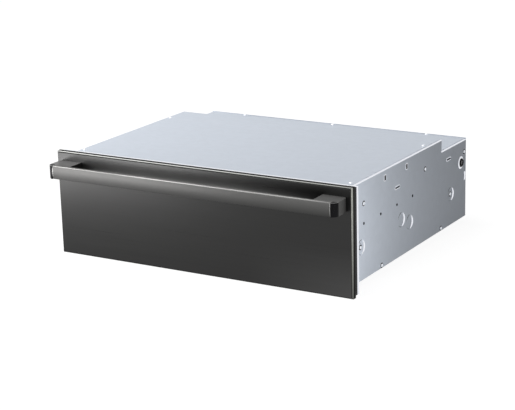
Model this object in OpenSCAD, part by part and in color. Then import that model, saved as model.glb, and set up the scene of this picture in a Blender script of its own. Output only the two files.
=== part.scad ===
// Built-in warming drawer: a flat black drawer front with a full-width handle, a stainless pan on
// three-part ball slides, and a stepped galvanised chassis that holds the heated cavity.
// Sizes are in millimetres. The origin is the centre of the chassis base, on its underside.
// X points to the right of someone facing the front, Y points to the rear and Z points up.

/* [Drawer front] */
// Width of the drawer front
front_w = 755.65; // [650:0.05:850]
// Height of the drawer front
front_h = 242; // [210:1:280]
// How far the front hangs below the chassis
front_drop = 14; // [10:1:18]
// How far the front stands above the chassis
front_rise = 8; // [6:1:16]
// How far the front stands past each side panel
front_overhang = 22.225; // [18:0.025:30]
// Depth of the folded front skin
front_d = 14; // [11:0.5:20]
// Bevel round the front face
front_bevel = 3.5; // [1:0.5:5]
// Depth of the black frame behind the skin
backing_d = 6; // [5.5:0.5:9]

/* [Handle] */
// Distance from each end of the front to the end of the handle
handle_inset = 10.825; // [4:0.025:40]
// Height of the bar and of its posts
handle_h = 31; // [26:1:36]
// Thickness of the bar
handle_t = 9; // [8:0.5:12]
// Reach of the bar in front of the face
handle_reach = 51; // [45:1:60]
// Width of each post
post_w = 57; // [45:1:70]
// Radius of the outer front corners
handle_corner_r = 13; // [10:0.5:16]
// Radius of the posts' outer rear edges
post_edge_r = 8; // [3:0.5:12]
// Distance from the top of the front to the top of the bar
handle_drop = 21; // [15:1:30]

/* [Chassis] */
// Depth from the front edge to the back
chassis_d = 610; // [560:1:680]
// Depth of the lowered rear shelf
step_d = 140; // [125:1:160]
// How far the rear shelf lies below the top
step_h = 28.5; // [20:0.5:32]
// Thickness of the galvanised sheet
sheet_t = 1; // [0.8:0.05:1.2]
// Outer radius of the bends along the top edges
bend_r = 2.5; // [2:0.1:4]
// Width of the flanges that are folded inwards
flange_w = 20; // [18:1:24]

/* [Cavity] */
// Space between a side panel and the liner
side_space = 25; // [22:0.5:28]
// Space between the base and the liner
floor_space = 20; // [16:0.5:24]
// Space between the liner and the top of the chassis
top_space = 38.2; // [36:0.1:42]
// Space between the cavity and the back of the chassis
rear_space = 145; // [142:1:170]
// Thickness of the stainless liner
liner_t = 0.8; // [0.6:0.05:1]

/* [Pan] */
// Width of the rim on each side of the pan
pan_rim_w = 16.1; // [14:0.1:40]
// How much shorter the pan is than the cavity
pan_end_space = 27; // [24:1:60]
// Space between the liner floor and the pan
pan_lift = 16.2; // [14:0.1:22]
// Space between the pan's rim and the top of the cavity
pan_headroom = 14; // [13.5:0.1:24]
// Thickness of the pan's sheet
pan_t = 0.8; // [0.6:0.05:1.2]
// Radius of the pan's upright corners
pan_corner_r = 14; // [8:1:24]

/* [Slides] */
// How much shorter the slides are than the cavity
slide_end_space = 15; // [10:1:30]
// Distance from the top of the cavity to the slides' centre line
slide_drop = 57; // [54:1:66]
// How much shorter the drawer's travel is than the slides
travel_short = 20; // [16:1:60]
// Distance from the chassis front to the first fixing
slide_fix_inset = 74; // [60:1:90]
// Distance between fixings
slide_fix_pitch = 80; // [70:1:90]
// Fixings on each slide
slide_fix_count = 4; // [2:1:4]

/* [Power inlet] */
// Radius of the bore in the cord bushing
inlet_r = 5; // [4:0.1:6]
// Outer radius of the cord bushing
bushing_r = 15; // [13:0.5:17]
// Distance from the back to the centre of the bushing
bushing_inset = 29; // [26:0.5:34]
// Distance from the rear shelf down to the centre of the bushing
bushing_drop = 53.5; // [44:0.5:60]

/* [Hidden] */
$fn = 48;

// Gap between pieces that lie beside each other
gap = 0.3;
// Radial clearance of screws, balls and other close fits
fit = 0.1;
// Overrun of every cut past the surface it opens
cut = 1;

// Outer sizes that follow from the front
chassis_w = front_w - 2 * front_overhang;
chassis_h = front_h - front_drop - front_rise;
handle_w = front_w - 2 * handle_inset;

// Planes of the front, from the face to the chassis
flange_t = 1.5;
front_gap = 0.5;
chassis_front_y = -chassis_d / 2;
chassis_back_y = chassis_d / 2;
flange_y = chassis_front_y - flange_t;
backing_y = flange_y - front_gap;
skin_back_y = backing_y - backing_d;
face_y = skin_back_y - front_d;
front_z0 = -front_drop;
front_z1 = front_h - front_drop;

// Skin, backing frame and mounting flange
skin_t = 1;
hem_w = 9;
backing_inset_x = 2;
backing_inset_z = 4;
backing_half = front_w / 2 - backing_inset_x;
backing_z0 = front_z0 + backing_inset_z;
backing_z1 = front_z1 - backing_inset_z;

// Chassis
chassis_half = chassis_w / 2;
side_in = chassis_half - sheet_t;
step_y = chassis_back_y - step_d;
shelf_z = chassis_h - step_h;
cover_half = chassis_half - bend_r;
base_flange_h = 19;
corner_relief = 4;
back_lip_h = 1;
back_flange_z1 = shelf_z - sheet_t - bend_r;
dimple_r = 17.5;
dimple_d = 2;
dimple_wall_w = 3.5;
dimple_in = side_in - dimple_d;
bushing_z = shelf_z - bushing_drop;
bushing_groove = 3;
bushing_clip = 1.5;
bushing_neck_r = bushing_r - bushing_groove;
bushing_clip_r = bushing_r - bushing_clip;
bushing_in = 9;
bushing_proud = 4;
louvre = [34, 3];
louvre_pitch = [42, 9];
louvre_columns = 4;
louvre_rows = 6;
louvre_x = 60;
louvre_z = 60;

// Cavity and its opening in the mounting flange
liner_half = side_in - side_space;
cavity_half = liner_half - liner_t;
liner_z0 = sheet_t + floor_space;
liner_z1 = chassis_h - top_space;
cavity_z0 = liner_z0 + liner_t;
cavity_z1 = liner_z1 - liner_t;
cavity_d = chassis_d - rear_space;
cavity_back_y = chassis_front_y + cavity_d;
liner_back_y = cavity_back_y + liner_t;
liner_lip_w = 4;
bulkhead_gap = 23;
bulkhead_y = liner_back_y + bulkhead_gap;
control_room = 42;
cabinet_screw_r = 2.25;
cabinet_screw_x = (chassis_half + backing_half) / 2;
cabinet_screw_inset = 40;
cabinet_screw_zs = [backing_z0 + cabinet_screw_inset, backing_z1 - cabinet_screw_inset];

// Feature places on the side panels, as shares of the chassis depth and height
bracket_shares = [[0.121, 0.764], [0.623, 0.773]];
upright_slot_shares = [[0.2885, 0.9045], [0.4656, 0.9045]];
lanced_slot_shares = [[0.3885, 0.741], [0.8361, 0.741]];
emboss_shares = [[0.4213, 0.3773], [0.4902, 0.3027]];
front_dimple_share = [0.1, 0.3364];
rear_dimple_share = [0.8574, 0.3409];
dimple_shares = concat(emboss_shares, [front_dimple_share, rear_dimple_share]);
base_screw_shares = [0.259, 0.767];
top_screw_shares = [0.0623, 0.6475];
back_screw_shares = [-0.84, -0.28, 0.28, 0.84];
shelf_screw_shares = [-0.717, 0, 0.717];
base_screw_z = 6;
back_screw_drop = 30.5;
back_screw_z = shelf_z - back_screw_drop;
upright_slot = [6, 10];
lanced_slot = [21, 3];
lance_proud = 1.2;
rear_slot = [4, 26];
rear_slot_share = 0.459;
rear_slot_inset = 5;
top_screw_inset = 11.6;
dimple_hole_r = 2;
dimple_hole_rise = 9;
slide_hole_r = 2.5;
side_insulation_z1 = bracket_shares[0][1] * chassis_h - flange_w / 2 - gap;

// Screws
screw_r = 1.9;
screw_head_r = 4;
screw_head_h = 2.2;
screw_crown_share = 0.7;
screw_l = 9;
recess_w = 1;
recess_l = 4.6;
recess_d = 1.1;
flat_head_r = 3.5;
slide_screw_l = 12;
standoff_tube_r = 6;
screw_space = 0.9;

// Slide sections: u is measured from the cavity wall towards the pan, v from the centre line
slide_setback = 1.5;
slide_y0 = chassis_front_y + slide_setback;
slide_l = cavity_d - slide_end_space;
slide_z = cavity_z1 - slide_drop;
travel = slide_l - travel_short;
member_t = 1.2;
outer_v = 22.8;
outer_u = 11;
lip_l = 1.7;
middle_u0 = 2;
middle_u1 = 11;
middle_v = 17;
inner_u0 = 4.6;
inner_u1 = 12.7;
inner_v = 11.4;
inner_shorter = 10;
inner_l = slide_l - inner_shorter;
cage_t = 0.4;
cage_flange_t = 0.6;
outer_cage_u = 1.4;
inner_cage_u = 3.4;
cage_flange_l = 7;
cage_share = 0.44;
cage_l = cage_share * slide_l;
ball_count = 8;
ball_pitch = cage_l / ball_count;
outer_ball_v = (outer_v - member_t + middle_v) / 2;
outer_ball_r = (outer_v - member_t - middle_v) / 2 - fit;
inner_ball_v = (middle_v - member_t + inner_v) / 2;
inner_ball_r = (middle_v - member_t - inner_v) / 2 - fit;
ball_u = 4.2;
// At full travel the outer cage lies midway between the ends that the middle and outer parts share
shared_y = slide_y0 + (slide_l - travel / 2) / 2;
outer_cage_y = shared_y + travel / 4;
inner_cage_y = shared_y - travel / 2 + travel * 3 / 4;

// Rails and pan
rail_half = cavity_half - inner_u1;
rail_t = 1.2;
rail_below = 29;
rail_tab_above = 26;
rail_z0 = slide_z - rail_below;
rail_tab_z1 = slide_z + rail_tab_above;
rail_lip_w = 9;
rail_end_gap = 1.5;
rail_y1 = slide_y0 + inner_l - rail_end_gap;
rail_tab_w = 19;
pan_w = 2 * (rail_half - pan_rim_w);
pan_d = cavity_d - pan_end_space;
pan_z0 = cavity_z0 + pan_lift;
pan_rim_z = cavity_z1 - pan_headroom;
pan_setback = 6;
pan_y0 = backing_y + pan_setback;
pan_y1 = pan_y0 + pan_d;
pan_rim_front = 4;
pan_screw_inset = 12;
pan_screw_zs = [rail_z0 + pan_screw_inset, rail_tab_z1 - pan_screw_inset];
pan_screw_x = rail_half - pan_screw_inset;
pan_screw_l = 3.2;

// Gasket and its groove in the backing frame
gasket_w = 6;
gasket_offset = 4;
groove_d = 3;
gasket_gap = 0.25;

// Vent slide and its guides
vent_w = 120;
vent_h = 6.4;
vent_t = 0.8;
vent_lip = 1.4;
vent_guide_t = 1.6;
vent_travel = 12;
vent_slots = 4;
vent_slot = [9, 2.6];
vent_pitch = 26;
vent_z = (pan_rim_z + cavity_z1) / 2;
vent_tab = [7, 4, 3];

// Heating element and its clips
element_r = 3.2;
element_pitch = 70;
element_runs = 6;
element_front_inset = 75;
element_rear_inset = 70;
element_rise = 7;
element_front_y = chassis_front_y + element_front_inset;
element_rear_y = cavity_back_y - element_rear_inset;
element_end_x = (element_runs - 1) / 2 * element_pitch;
element_z = cavity_z0 + element_rise;
terminal_l = 12;
terminal_r = 2;
clip_w = 14;
clip_t = 0.8;
clip_foot = 7;

// Probe and thermostat on the rear wall
probe_r = 3;
probe_l = 60;
probe_x = -120;
probe_drop = 6;
probe_z = cavity_z1 - probe_drop;
probe_nut = [7, 2.5];
stat_x = 120;
stat_r = 12;
stat_l = 12;
stat_cap_r = 8;
stat_z = (cavity_z0 + cavity_z1) / 2;
rear_hole_r = 9;

// Electrics behind the bulkhead
board = [140, 84, 1.6];
board_x = -80;
board_y = (bulkhead_y + chassis_back_y) / 2;
standoff_h = 10;
standoff_r = 4;
standoff_inset = 7;
standoff_xs = [for (side = [-1, 1]) board_x + side * (board[0] / 2 - standoff_inset)];
standoff_ys = [for (side = [-1, 1]) board_y + side * (board[1] / 2 - standoff_inset)];
board_hole_r = 1.7;
relay = [19, 15, 16];
relay_count = 3;
relay_share = [-0.36, -0.42, 0.27];
transformer = [42, 36, 28];
transformer_share = [0.08, -0.38];
capacitor = [8, 26];
capacitor_share = [0.02, 0.3];
block = [52, 22, 20];
block_inset = 70;
block_x = chassis_half - block_inset;
block_screw_r = 3;

// Control strip above the cavity, behind the drawer front
fascia = [220, 2, 24];
fascia_margin = 4;
fascia_rise = 1;
fascia_z = (liner_z1 + liner_lip_w + chassis_h - sheet_t) / 2 + fascia_rise;
key = [15, 7, 9];
key_proud = 0.8;
key_pitch = 24;
key_lip = 1;
key_first_x = 56;
key_count = 4;
window = [76, 12, 1.4];
control_gap = 8;
control_board_t = 1.6;
boss_r = 3;
boss_inset = [6, 4];
boss_x = fascia[0] / 2 - boss_inset[0];
boss_z = fascia[2] / 2 - boss_inset[1];
control_board_y = chassis_front_y + fascia[1] + control_gap;

// Handle
bar_z1 = front_z1 - handle_drop;
bar_z0 = bar_z1 - handle_h;
bar_y = face_y - handle_reach;
bar_crown = 2.5;
handle_half = handle_w / 2;
post_x = handle_half - post_w / 2;
handle_screw_spread = 16;
handle_screw_l = 18;
crown_steps = 180;

module block_between(low, high) {
  translate(low) cube(high - low);
}

module along_x(x0, x1) {
  translate([x0, 0, 0]) rotate([90, 0, 90]) linear_extrude(x1 - x0) children();
}

module along_y(y0, y1) {
  translate([0, y1, 0]) rotate([90, 0, 0]) linear_extrude(y1 - y0) children();
}

// Draws the right-hand piece, or its mirror image for the left
module on_side(side) {
  mirror([side < 0 ? 1 : 0, 0, 0]) children();
}

module both_sides() {
  for (side = [-1, 1]) on_side(side) children();
}

// A cylinder along Y from one plane to another
module rod_y(x, z, r, y0, y1) {
  translate([x, y1, z]) rotate([90, 0, 0]) cylinder(r = r, h = y1 - y0);
}

// A cylinder along X from one plane to another
module rod_x(y, z, r, x0, x1) {
  translate([x0, y, z]) rotate([0, 90, 0]) cylinder(r = r, h = x1 - x0);
}

module rounded_rectangle(w, h, r) {
  square([w - 2 * r, h], center = true);
  square([w, h - 2 * r], center = true);
  for (x = [-1, 1], y = [-1, 1]) translate([x * (w / 2 - r), y * (h / 2 - r)]) circle(r);
}

// Outline of a folded sheet edge: a top leg and an upright leg that meet in a rounded bend at the origin
module folded_edge(top_leg, upright_leg) {
  translate([-top_leg, -sheet_t]) square([top_leg - bend_r, sheet_t]);
  translate([-sheet_t, -upright_leg]) square([sheet_t, upright_leg - bend_r]);
  intersection() {
    translate([-bend_r, -bend_r]) square(bend_r);
    translate([-bend_r, -bend_r]) difference() {
      circle(bend_r);
      circle(bend_r - sheet_t);
    }
  }
}

// A pan-head screw: its head stands above the XY plane and its shank runs down from it
module screw(shank = screw_l) {
  difference() {
    union() {
      cylinder(r = screw_head_r, h = screw_head_h / 2);
      translate([0, 0, screw_head_h / 2])
        cylinder(r1 = screw_head_r, r2 = screw_head_r * screw_crown_share, h = screw_head_h / 2);
    }
    for (turn = [0, 90]) rotate(turn)
      translate([-recess_l / 2, -recess_w / 2, screw_head_h - recess_d])
        cube([recess_l, recess_w, recess_d + cut]);
  }
  translate([0, 0, -shank]) cylinder(r = screw_r, h = shank);
}

function side_y(share) = chassis_front_y + share[0] * chassis_d;
function side_z(share) = share[1] * chassis_h;
function element_x(i) = i * element_pitch - element_end_x;
function key_x(i) = (i < key_count / 2 ? -1 : 1) * (key_first_x + (i % 2) * key_pitch);
function vent_slot_x(i) = (i - (vent_slots - 1) / 2) * vent_pitch;
function slide_fix_y(i) = chassis_front_y + slide_fix_inset + i * slide_fix_pitch;

// Places of the screws on each side panel, as depth, height and the plane their heads sit on
side_screw_places = [
  for (share = bracket_shares) [side_y(share), side_z(share), chassis_half],
  for (share = base_screw_shares) [chassis_front_y + share * chassis_d, base_screw_z, chassis_half],
  [side_y(front_dimple_share), side_z(front_dimple_share), chassis_half - dimple_d],
  [side_y(rear_dimple_share), side_z(rear_dimple_share), chassis_half - dimple_d],
  [chassis_back_y - sheet_t - flange_w / 2, back_screw_z, chassis_half]
];

// Holes for the side screws through everything between two planes
module side_screw_holes(x0, x1, r = screw_r + fit) {
  for (place = side_screw_places) rod_x(place[0], place[1], r, x0, x1);
}

// A round pressing with a sloping wall: its hollow runs past the face, and its back is a sheet thicker
module dimple_hollow(share) {
  over_r = dimple_wall_w * cut / dimple_d;
  translate([chassis_half + cut, side_y(share), side_z(share)]) rotate([0, -90, 0])
    cylinder(r1 = dimple_r + over_r, r2 = dimple_r - dimple_wall_w, h = dimple_d + cut);
}

module dimple_back(share) {
  translate([side_in, side_y(share), side_z(share)]) rotate([0, -90, 0])
    cylinder(r1 = dimple_r + sheet_t, r2 = dimple_r + sheet_t - dimple_wall_w, h = dimple_d);
}

module slot_cut(y, z, size) {
  block_between([dimple_in - cut, y - size[0] / 2, z - size[1] / 2],
    [chassis_half + cut, y + size[0] / 2, z + size[1] / 2]);
}

module side_panel(has_inlet) {
  color("lightsteelblue") {
    difference() {
      union() {
        along_y(chassis_front_y, step_y - sheet_t)
          translate([chassis_half, chassis_h - sheet_t]) folded_edge(flange_w, chassis_h - sheet_t);
        along_y(step_y - sheet_t, chassis_back_y - sheet_t)
          translate([chassis_half, shelf_z - sheet_t]) folded_edge(flange_w, shelf_z - sheet_t);
        for (share = dimple_shares) dimple_back(share);
      }
      for (share = dimple_shares) dimple_hollow(share);
      for (share = upright_slot_shares) slot_cut(side_y(share), side_z(share), upright_slot);
      for (share = lanced_slot_shares) slot_cut(side_y(share), side_z(share), lanced_slot);
      slot_cut(chassis_back_y - rear_slot_inset, rear_slot_share * chassis_h, rear_slot);
      side_screw_holes(dimple_in - cut, chassis_half + cut);
      for (share = [front_dimple_share, rear_dimple_share])
        rod_x(side_y(share), side_z(share) + dimple_hole_rise, dimple_hole_r,
          dimple_in - cut, chassis_half + cut);
      for (i = [0 : slide_fix_count - 1])
        rod_x(slide_fix_y(i), slide_z, slide_hole_r, side_in - cut, chassis_half + cut);
      if (has_inlet)
        rod_x(chassis_back_y - bushing_inset, bushing_z, bushing_neck_r + fit,
          side_in - cut, chassis_half + cut);
      top_screw_holes();
      shelf_screw_holes();
    }
    // Lips that the lanced slots leave standing
    for (share = lanced_slot_shares)
      block_between(
        [chassis_half, side_y(share) - lanced_slot[0] / 2, side_z(share) + lanced_slot[1] / 2],
        [chassis_half + lance_proud, side_y(share) + lanced_slot[0] / 2,
          side_z(share) + lanced_slot[1] / 2 + sheet_t]);
  }
}

module top_screw_places() {
  for (side = [-1, 1], share = top_screw_shares)
    translate([side * (chassis_half - top_screw_inset), chassis_front_y + share * chassis_d, chassis_h])
      children();
}

module shelf_screw_places() {
  for (share = shelf_screw_shares)
    translate([share * chassis_half, chassis_back_y - sheet_t - flange_w / 4, shelf_z]) children();
}

module back_screw_places() {
  for (share = back_screw_shares)
    translate([share * chassis_half, chassis_back_y, sheet_t + base_flange_h / 2])
      rotate([-90, 0, 0]) children();
}

module screw_hole() {
  translate([0, 0, -screw_l - cut]) cylinder(r = screw_r + fit, h = screw_l + 2 * cut);
}

module top_screw_holes() {
  top_screw_places() screw_hole();
}

module shelf_screw_holes() {
  shelf_screw_places() screw_hole();
}

// Floor of the chassis, with its side and rear edges folded up
module base_pan() {
  color("lightsteelblue") difference() {
    union() {
      block_between([-side_in, chassis_front_y, 0], [side_in, chassis_back_y - sheet_t, sheet_t]);
      both_sides() block_between([side_in - sheet_t, chassis_front_y + flange_w, sheet_t],
        [side_in, chassis_back_y - sheet_t, sheet_t + base_flange_h]);
      block_between([-side_in + corner_relief, chassis_back_y - 2 * sheet_t, sheet_t],
        [side_in - corner_relief, chassis_back_y - sheet_t, sheet_t + base_flange_h]);
    }
    both_sides() side_screw_holes(side_in - sheet_t - cut, side_in + cut);
    back_screw_places() screw_hole();
    for (x = standoff_xs, y = standoff_ys)
      translate([x, y, -cut]) cylinder(r = board_hole_r, h = sheet_t + 2 * cut);
  }
}

// Top sheet over the cavity, folded down at its rear to the lowered shelf
module top_cover() {
  color("gainsboro") difference() {
    union() {
      block_between([-cover_half, chassis_front_y, chassis_h - sheet_t], [cover_half, step_y, chassis_h]);
      block_between([-chassis_half, step_y - sheet_t, shelf_z],
        [chassis_half, step_y, chassis_h - bend_r]);
      block_between([-cover_half, step_y - sheet_t, shelf_z], [cover_half, step_y, chassis_h]);
    }
    top_screw_holes();
  }
}

// Lowered rear sheet over the electrics
module rear_shelf_cover() {
  color("gainsboro") difference() {
    block_between([-cover_half, step_y - sheet_t, shelf_z - sheet_t],
      [cover_half, chassis_back_y - sheet_t, shelf_z]);
    shelf_screw_holes();
  }
}

// Rear sheet with its edges folded forwards and rows of cooling slots
module back_panel() {
  color("lightsteelblue") difference() {
    union() {
      block_between([-chassis_half, chassis_back_y - sheet_t, 0],
        [chassis_half, chassis_back_y, shelf_z + back_lip_h]);
      both_sides() block_between(
        [side_in - sheet_t, chassis_back_y - flange_w, 2 * sheet_t + base_flange_h],
        [side_in, chassis_back_y - sheet_t, back_flange_z1]);
      block_between([-side_in + flange_w, chassis_back_y - flange_w, shelf_z - 2 * sheet_t],
        [side_in - flange_w, chassis_back_y - sheet_t, shelf_z - sheet_t]);
    }
    both_sides() rod_x(chassis_back_y - bushing_inset, bushing_z, bushing_r,
      side_in - sheet_t - cut, side_in + cut);
    for (side = [-1, 1], column = [0 : louvre_columns - 1], row = [0 : louvre_rows - 1])
      translate([
        side * (louvre_x + column * louvre_pitch[0]),
        chassis_back_y - sheet_t / 2,
        louvre_z + row * louvre_pitch[1]
      ]) cube([louvre[0], sheet_t + 2 * cut, louvre[1]], center = true);
    both_sides() side_screw_holes(side_in - sheet_t - cut, side_in + cut);
    back_screw_places() screw_hole();
    shelf_screw_holes();
  }
}

// Black plate round the cavity opening, which carries the screws that hold the appliance in its cabinet
module mounting_flange() {
  color("black") difference() {
    union() {
      block_between([-backing_half, flange_y, backing_z0], [backing_half, chassis_front_y, backing_z1]);
      both_sides() block_between(
        [dimple_in - sheet_t, chassis_front_y, side_z(front_dimple_share) - flange_w / 2],
        [dimple_in, side_y(front_dimple_share) + flange_w / 2, side_z(front_dimple_share) + flange_w / 2]);
    }
    block_between([-cavity_half, flange_y - cut, cavity_z0], [cavity_half, chassis_front_y + cut, cavity_z1]);
    block_between(
      [-fascia[0] / 2 + fascia_margin, flange_y - cut, fascia_z - fascia[2] / 2 + fascia_margin],
      [fascia[0] / 2 - fascia_margin, chassis_front_y + cut, fascia_z + fascia[2] / 2 - fascia_margin]);
    for (x = [-1, 1], z = cabinet_screw_zs)
      rod_y(x * cabinet_screw_x, z, cabinet_screw_r, flange_y - cut, chassis_front_y + cut);
    both_sides() side_screw_holes(dimple_in - sheet_t - cut, dimple_in + cut);
  }
}

module slide_fixing_places() {
  both_sides() for (i = [0 : slide_fix_count - 1])
    translate([cavity_half - member_t, slide_fix_y(i), slide_z]) rotate([0, -90, 0]) children();
}

module slide_fixing_holes(r) {
  both_sides() for (i = [0 : slide_fix_count - 1])
    rod_x(slide_fix_y(i), slide_z, r, rail_half, side_in + cut);
}

// Stainless box that the pan slides into, open at the front
module cavity_liner() {
  color("silver") difference() {
    union() {
      block_between([-liner_half, chassis_front_y, liner_z0], [liner_half, liner_back_y, liner_z1]);
      block_between([-liner_half - liner_lip_w, chassis_front_y, liner_z0 - liner_lip_w],
        [liner_half + liner_lip_w, chassis_front_y + liner_t, liner_z1 + liner_lip_w]);
    }
    block_between([-cavity_half, chassis_front_y - cut, cavity_z0], [cavity_half, cavity_back_y, cavity_z1]);
    slide_fixing_holes(screw_r + fit);
    rear_wall_holes(element_r + fit, probe_r + fit);
  }
}

// Holes in the rear wall for the ends of the element and for the probe
module rear_wall_holes(end_r, probe_hole_r) {
  for (side = [-1, 1])
    rod_y(side * element_end_x, element_z, end_r, cavity_back_y - cut, bulkhead_y + sheet_t + cut);
  rod_y(probe_x, probe_z, probe_hole_r, cavity_back_y - cut, bulkhead_y + sheet_t + cut);
}

// Brackets between the liner and the side panels
module liner_brackets() {
  color("lightsteelblue") difference() {
    both_sides() for (share = bracket_shares)
      translate([0, side_y(share), side_z(share)]) {
        block_between([liner_half, -flange_w / 2, -flange_w / 2],
          [liner_half + sheet_t, flange_w / 2, flange_w / 2]);
        block_between([liner_half, -flange_w / 2, -flange_w / 2],
          [side_in, flange_w / 2, -flange_w / 2 + sheet_t]);
        block_between([side_in - sheet_t, -flange_w / 2, -flange_w / 2],
          [side_in, flange_w / 2, flange_w / 2]);
      }
    both_sides() side_screw_holes(side_in - sheet_t - cut, side_in + cut);
  }
}

// Heat shield between the cavity and the electrics
module rear_bulkhead() {
  color("lightsteelblue") difference() {
    union() {
      block_between([-dimple_in + sheet_t, bulkhead_y, sheet_t],
        [dimple_in - sheet_t, bulkhead_y + sheet_t, shelf_z - 2 * sheet_t]);
      both_sides() block_between(
        [dimple_in - sheet_t, bulkhead_y, side_z(rear_dimple_share) - flange_w / 2],
        [dimple_in, side_y(rear_dimple_share) + flange_w / 2, side_z(rear_dimple_share) + flange_w / 2]);
    }
    rear_wall_holes(rear_hole_r, rear_hole_r);
    both_sides() side_screw_holes(dimple_in - sheet_t - cut, dimple_in + cut);
  }
}

module insulation_top() {
  color("khaki") block_between(
    [-liner_half, chassis_front_y + control_room, liner_z1 + gap],
    [liner_half, min(liner_back_y, step_y - sheet_t - gap), chassis_h - sheet_t - gap]);
}

module insulation_bottom() {
  color("khaki") block_between(
    [-liner_half, chassis_front_y + flange_w, sheet_t + gap],
    [liner_half, liner_back_y, liner_z0 - gap]);
}

module insulation_sides() {
  color("khaki") difference() {
    both_sides() block_between(
      [liner_half + gap, chassis_front_y + flange_w, liner_z0 + gap],
      [dimple_in - sheet_t - gap, liner_back_y, side_insulation_z1]);
    slide_fixing_holes(standoff_tube_r + gap);
    both_sides() side_screw_holes(liner_half, side_in, screw_r + gap);
  }
}

module insulation_rear() {
  color("khaki") difference() {
    block_between([-liner_half, liner_back_y + gap, liner_z0], [liner_half, bulkhead_y - gap, liner_z1]);
    rear_wall_holes(rear_hole_r, rear_hole_r);
    rod_y(stat_x, stat_z, stat_r + gap, cavity_back_y, bulkhead_y);
  }
}

// One sheathed rod, bent to and fro under the pan, with its two ends through the rear wall
module heating_element() {
  color("dimgray") {
    for (i = [0 : element_runs - 1]) {
      is_end = i == 0 || i == element_runs - 1;
      rod_y(element_x(i), element_z, element_r, element_front_y,
        is_end ? bulkhead_y + terminal_l : element_rear_y);
    }
    for (i = [0 : element_runs - 2])
      translate([
        element_x(i) + element_pitch / 2,
        i % 2 == 0 ? element_front_y : element_rear_y,
        element_z
      ]) rotate(i % 2 == 0 ? 180 : 0)
        rotate_extrude(angle = 180) translate([element_pitch / 2, 0]) circle(element_r);
  }
  color("goldenrod") for (side = [-1, 1])
    rod_y(side * element_end_x, element_z, terminal_r, bulkhead_y + terminal_l, bulkhead_y + 2 * terminal_l);
}

// Saddles that hold the element off the liner floor
module element_clips() {
  color("silver") for (i = [0 : element_runs - 1], y = [element_front_y, element_rear_y])
    translate([element_x(i), y + (y < 0 ? 1 : -1) * clip_w, 0]) difference() {
      union() {
        block_between([-element_r - clip_t - fit, -clip_w / 2, cavity_z0],
          [element_r + clip_t + fit, clip_w / 2, element_z]);
        block_between([-element_r - clip_foot, -clip_w / 2, cavity_z0],
          [element_r + clip_foot, clip_w / 2, cavity_z0 + clip_t]);
      }
      rod_y(0, element_z, element_r + fit, -clip_w, clip_w);
    }
}

// Probe that reaches over the pan from the rear wall
module temperature_probe() {
  color("silver") {
    rod_y(probe_x, probe_z, probe_r, cavity_back_y - probe_l, bulkhead_y + terminal_l);
    rod_y(probe_x, probe_z, probe_nut[0], liner_back_y, liner_back_y + probe_nut[1]);
  }
}

// Cut-out switch on the outside of the liner
module high_limit_thermostat() {
  color("black") {
    rod_y(stat_x, stat_z, stat_r, liner_back_y, liner_back_y + stat_l);
    rod_y(stat_x, stat_z, stat_cap_r, liner_back_y + stat_l, bulkhead_y - gap);
  }
}

// Supply board with its relays, transformer and capacitor
module power_board() {
  board_z = sheet_t + standoff_h;
  color("darkgreen") difference() {
    block_between([board_x - board[0] / 2, board_y - board[1] / 2, board_z],
      [board_x + board[0] / 2, board_y + board[1] / 2, board_z + board[2]]);
    for (x = standoff_xs, y = standoff_ys)
      translate([x, y, board_z - cut]) cylinder(r = board_hole_r, h = board[2] + 2 * cut);
  }
  translate([board_x, board_y, board_z + board[2]]) {
    color("black") for (i = [0 : relay_count - 1])
      translate([board[0] * relay_share[0], board[1] * (relay_share[1] + i * relay_share[2]), 0])
        block_between([0, 0, 0], relay);
    color("dimgray") translate([board[0] * transformer_share[0], board[1] * transformer_share[1], 0])
      block_between([0, 0, 0], transformer);
    color("navy") translate([board[0] * capacitor_share[0], board[1] * capacitor_share[1], 0])
      cylinder(r = capacitor[0], h = capacitor[1]);
  }
}

module board_standoffs() {
  color("white") for (x = standoff_xs, y = standoff_ys) translate([x, y, sheet_t]) {
    difference() {
      cylinder(r = standoff_r, h = standoff_h);
      translate([0, 0, -cut]) cylinder(r = board_hole_r, h = standoff_h + 2 * cut);
    }
  }
}

// Block where the supply wires end
module terminal_block() {
  color("ivory") difference() {
    block_between([block_x - block[0] / 2, board_y - block[1] / 2, sheet_t],
      [block_x + block[0] / 2, board_y + block[1] / 2, sheet_t + block[2]]);
    for (i = [-1, 0, 1]) translate([block_x + i * block[0] / 4, board_y, sheet_t + block[2] / 2]) {
      cylinder(r = block_screw_r, h = block[2]);
      cube([2 * block_screw_r, block[1] + 2 * cut, 2 * block_screw_r], center = true);
    }
  }
}

// Bushing that leads the supply cord through the right side panel
module cord_bushing() {
  color("black") translate([chassis_half, chassis_back_y - bushing_inset, bushing_z]) rotate([0, 90, 0])
    rotate_extrude() polygon([
      [inlet_r, -bushing_in],
      [bushing_clip_r, -bushing_in],
      [bushing_clip_r, -sheet_t],
      [bushing_neck_r, -sheet_t],
      [bushing_neck_r, 0],
      [bushing_r, 0],
      [bushing_r, bushing_proud / 2],
      [bushing_r - bushing_proud / 2, bushing_proud],
      [inlet_r + bushing_proud / 2, bushing_proud],
      [inlet_r, bushing_proud / 2]
    ]);
}

// Sections of the three slide members, drawn as u against v
module channel(u0, u1, half_v, web_at) {
  difference() {
    translate([u0, -half_v]) square([u1 - u0, 2 * half_v]);
    translate([web_at == u0 ? u0 + member_t : u0 - cut, -half_v + member_t])
      square([u1 - u0 - member_t + cut, 2 * (half_v - member_t)]);
  }
}

// Turns a section of u against v into a member along Y, beside the right-hand cavity wall
module slide_member(y0, length) {
  along_y(y0, y0 + length) translate([cavity_half, slide_z]) mirror([1, 0]) children();
}

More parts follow.
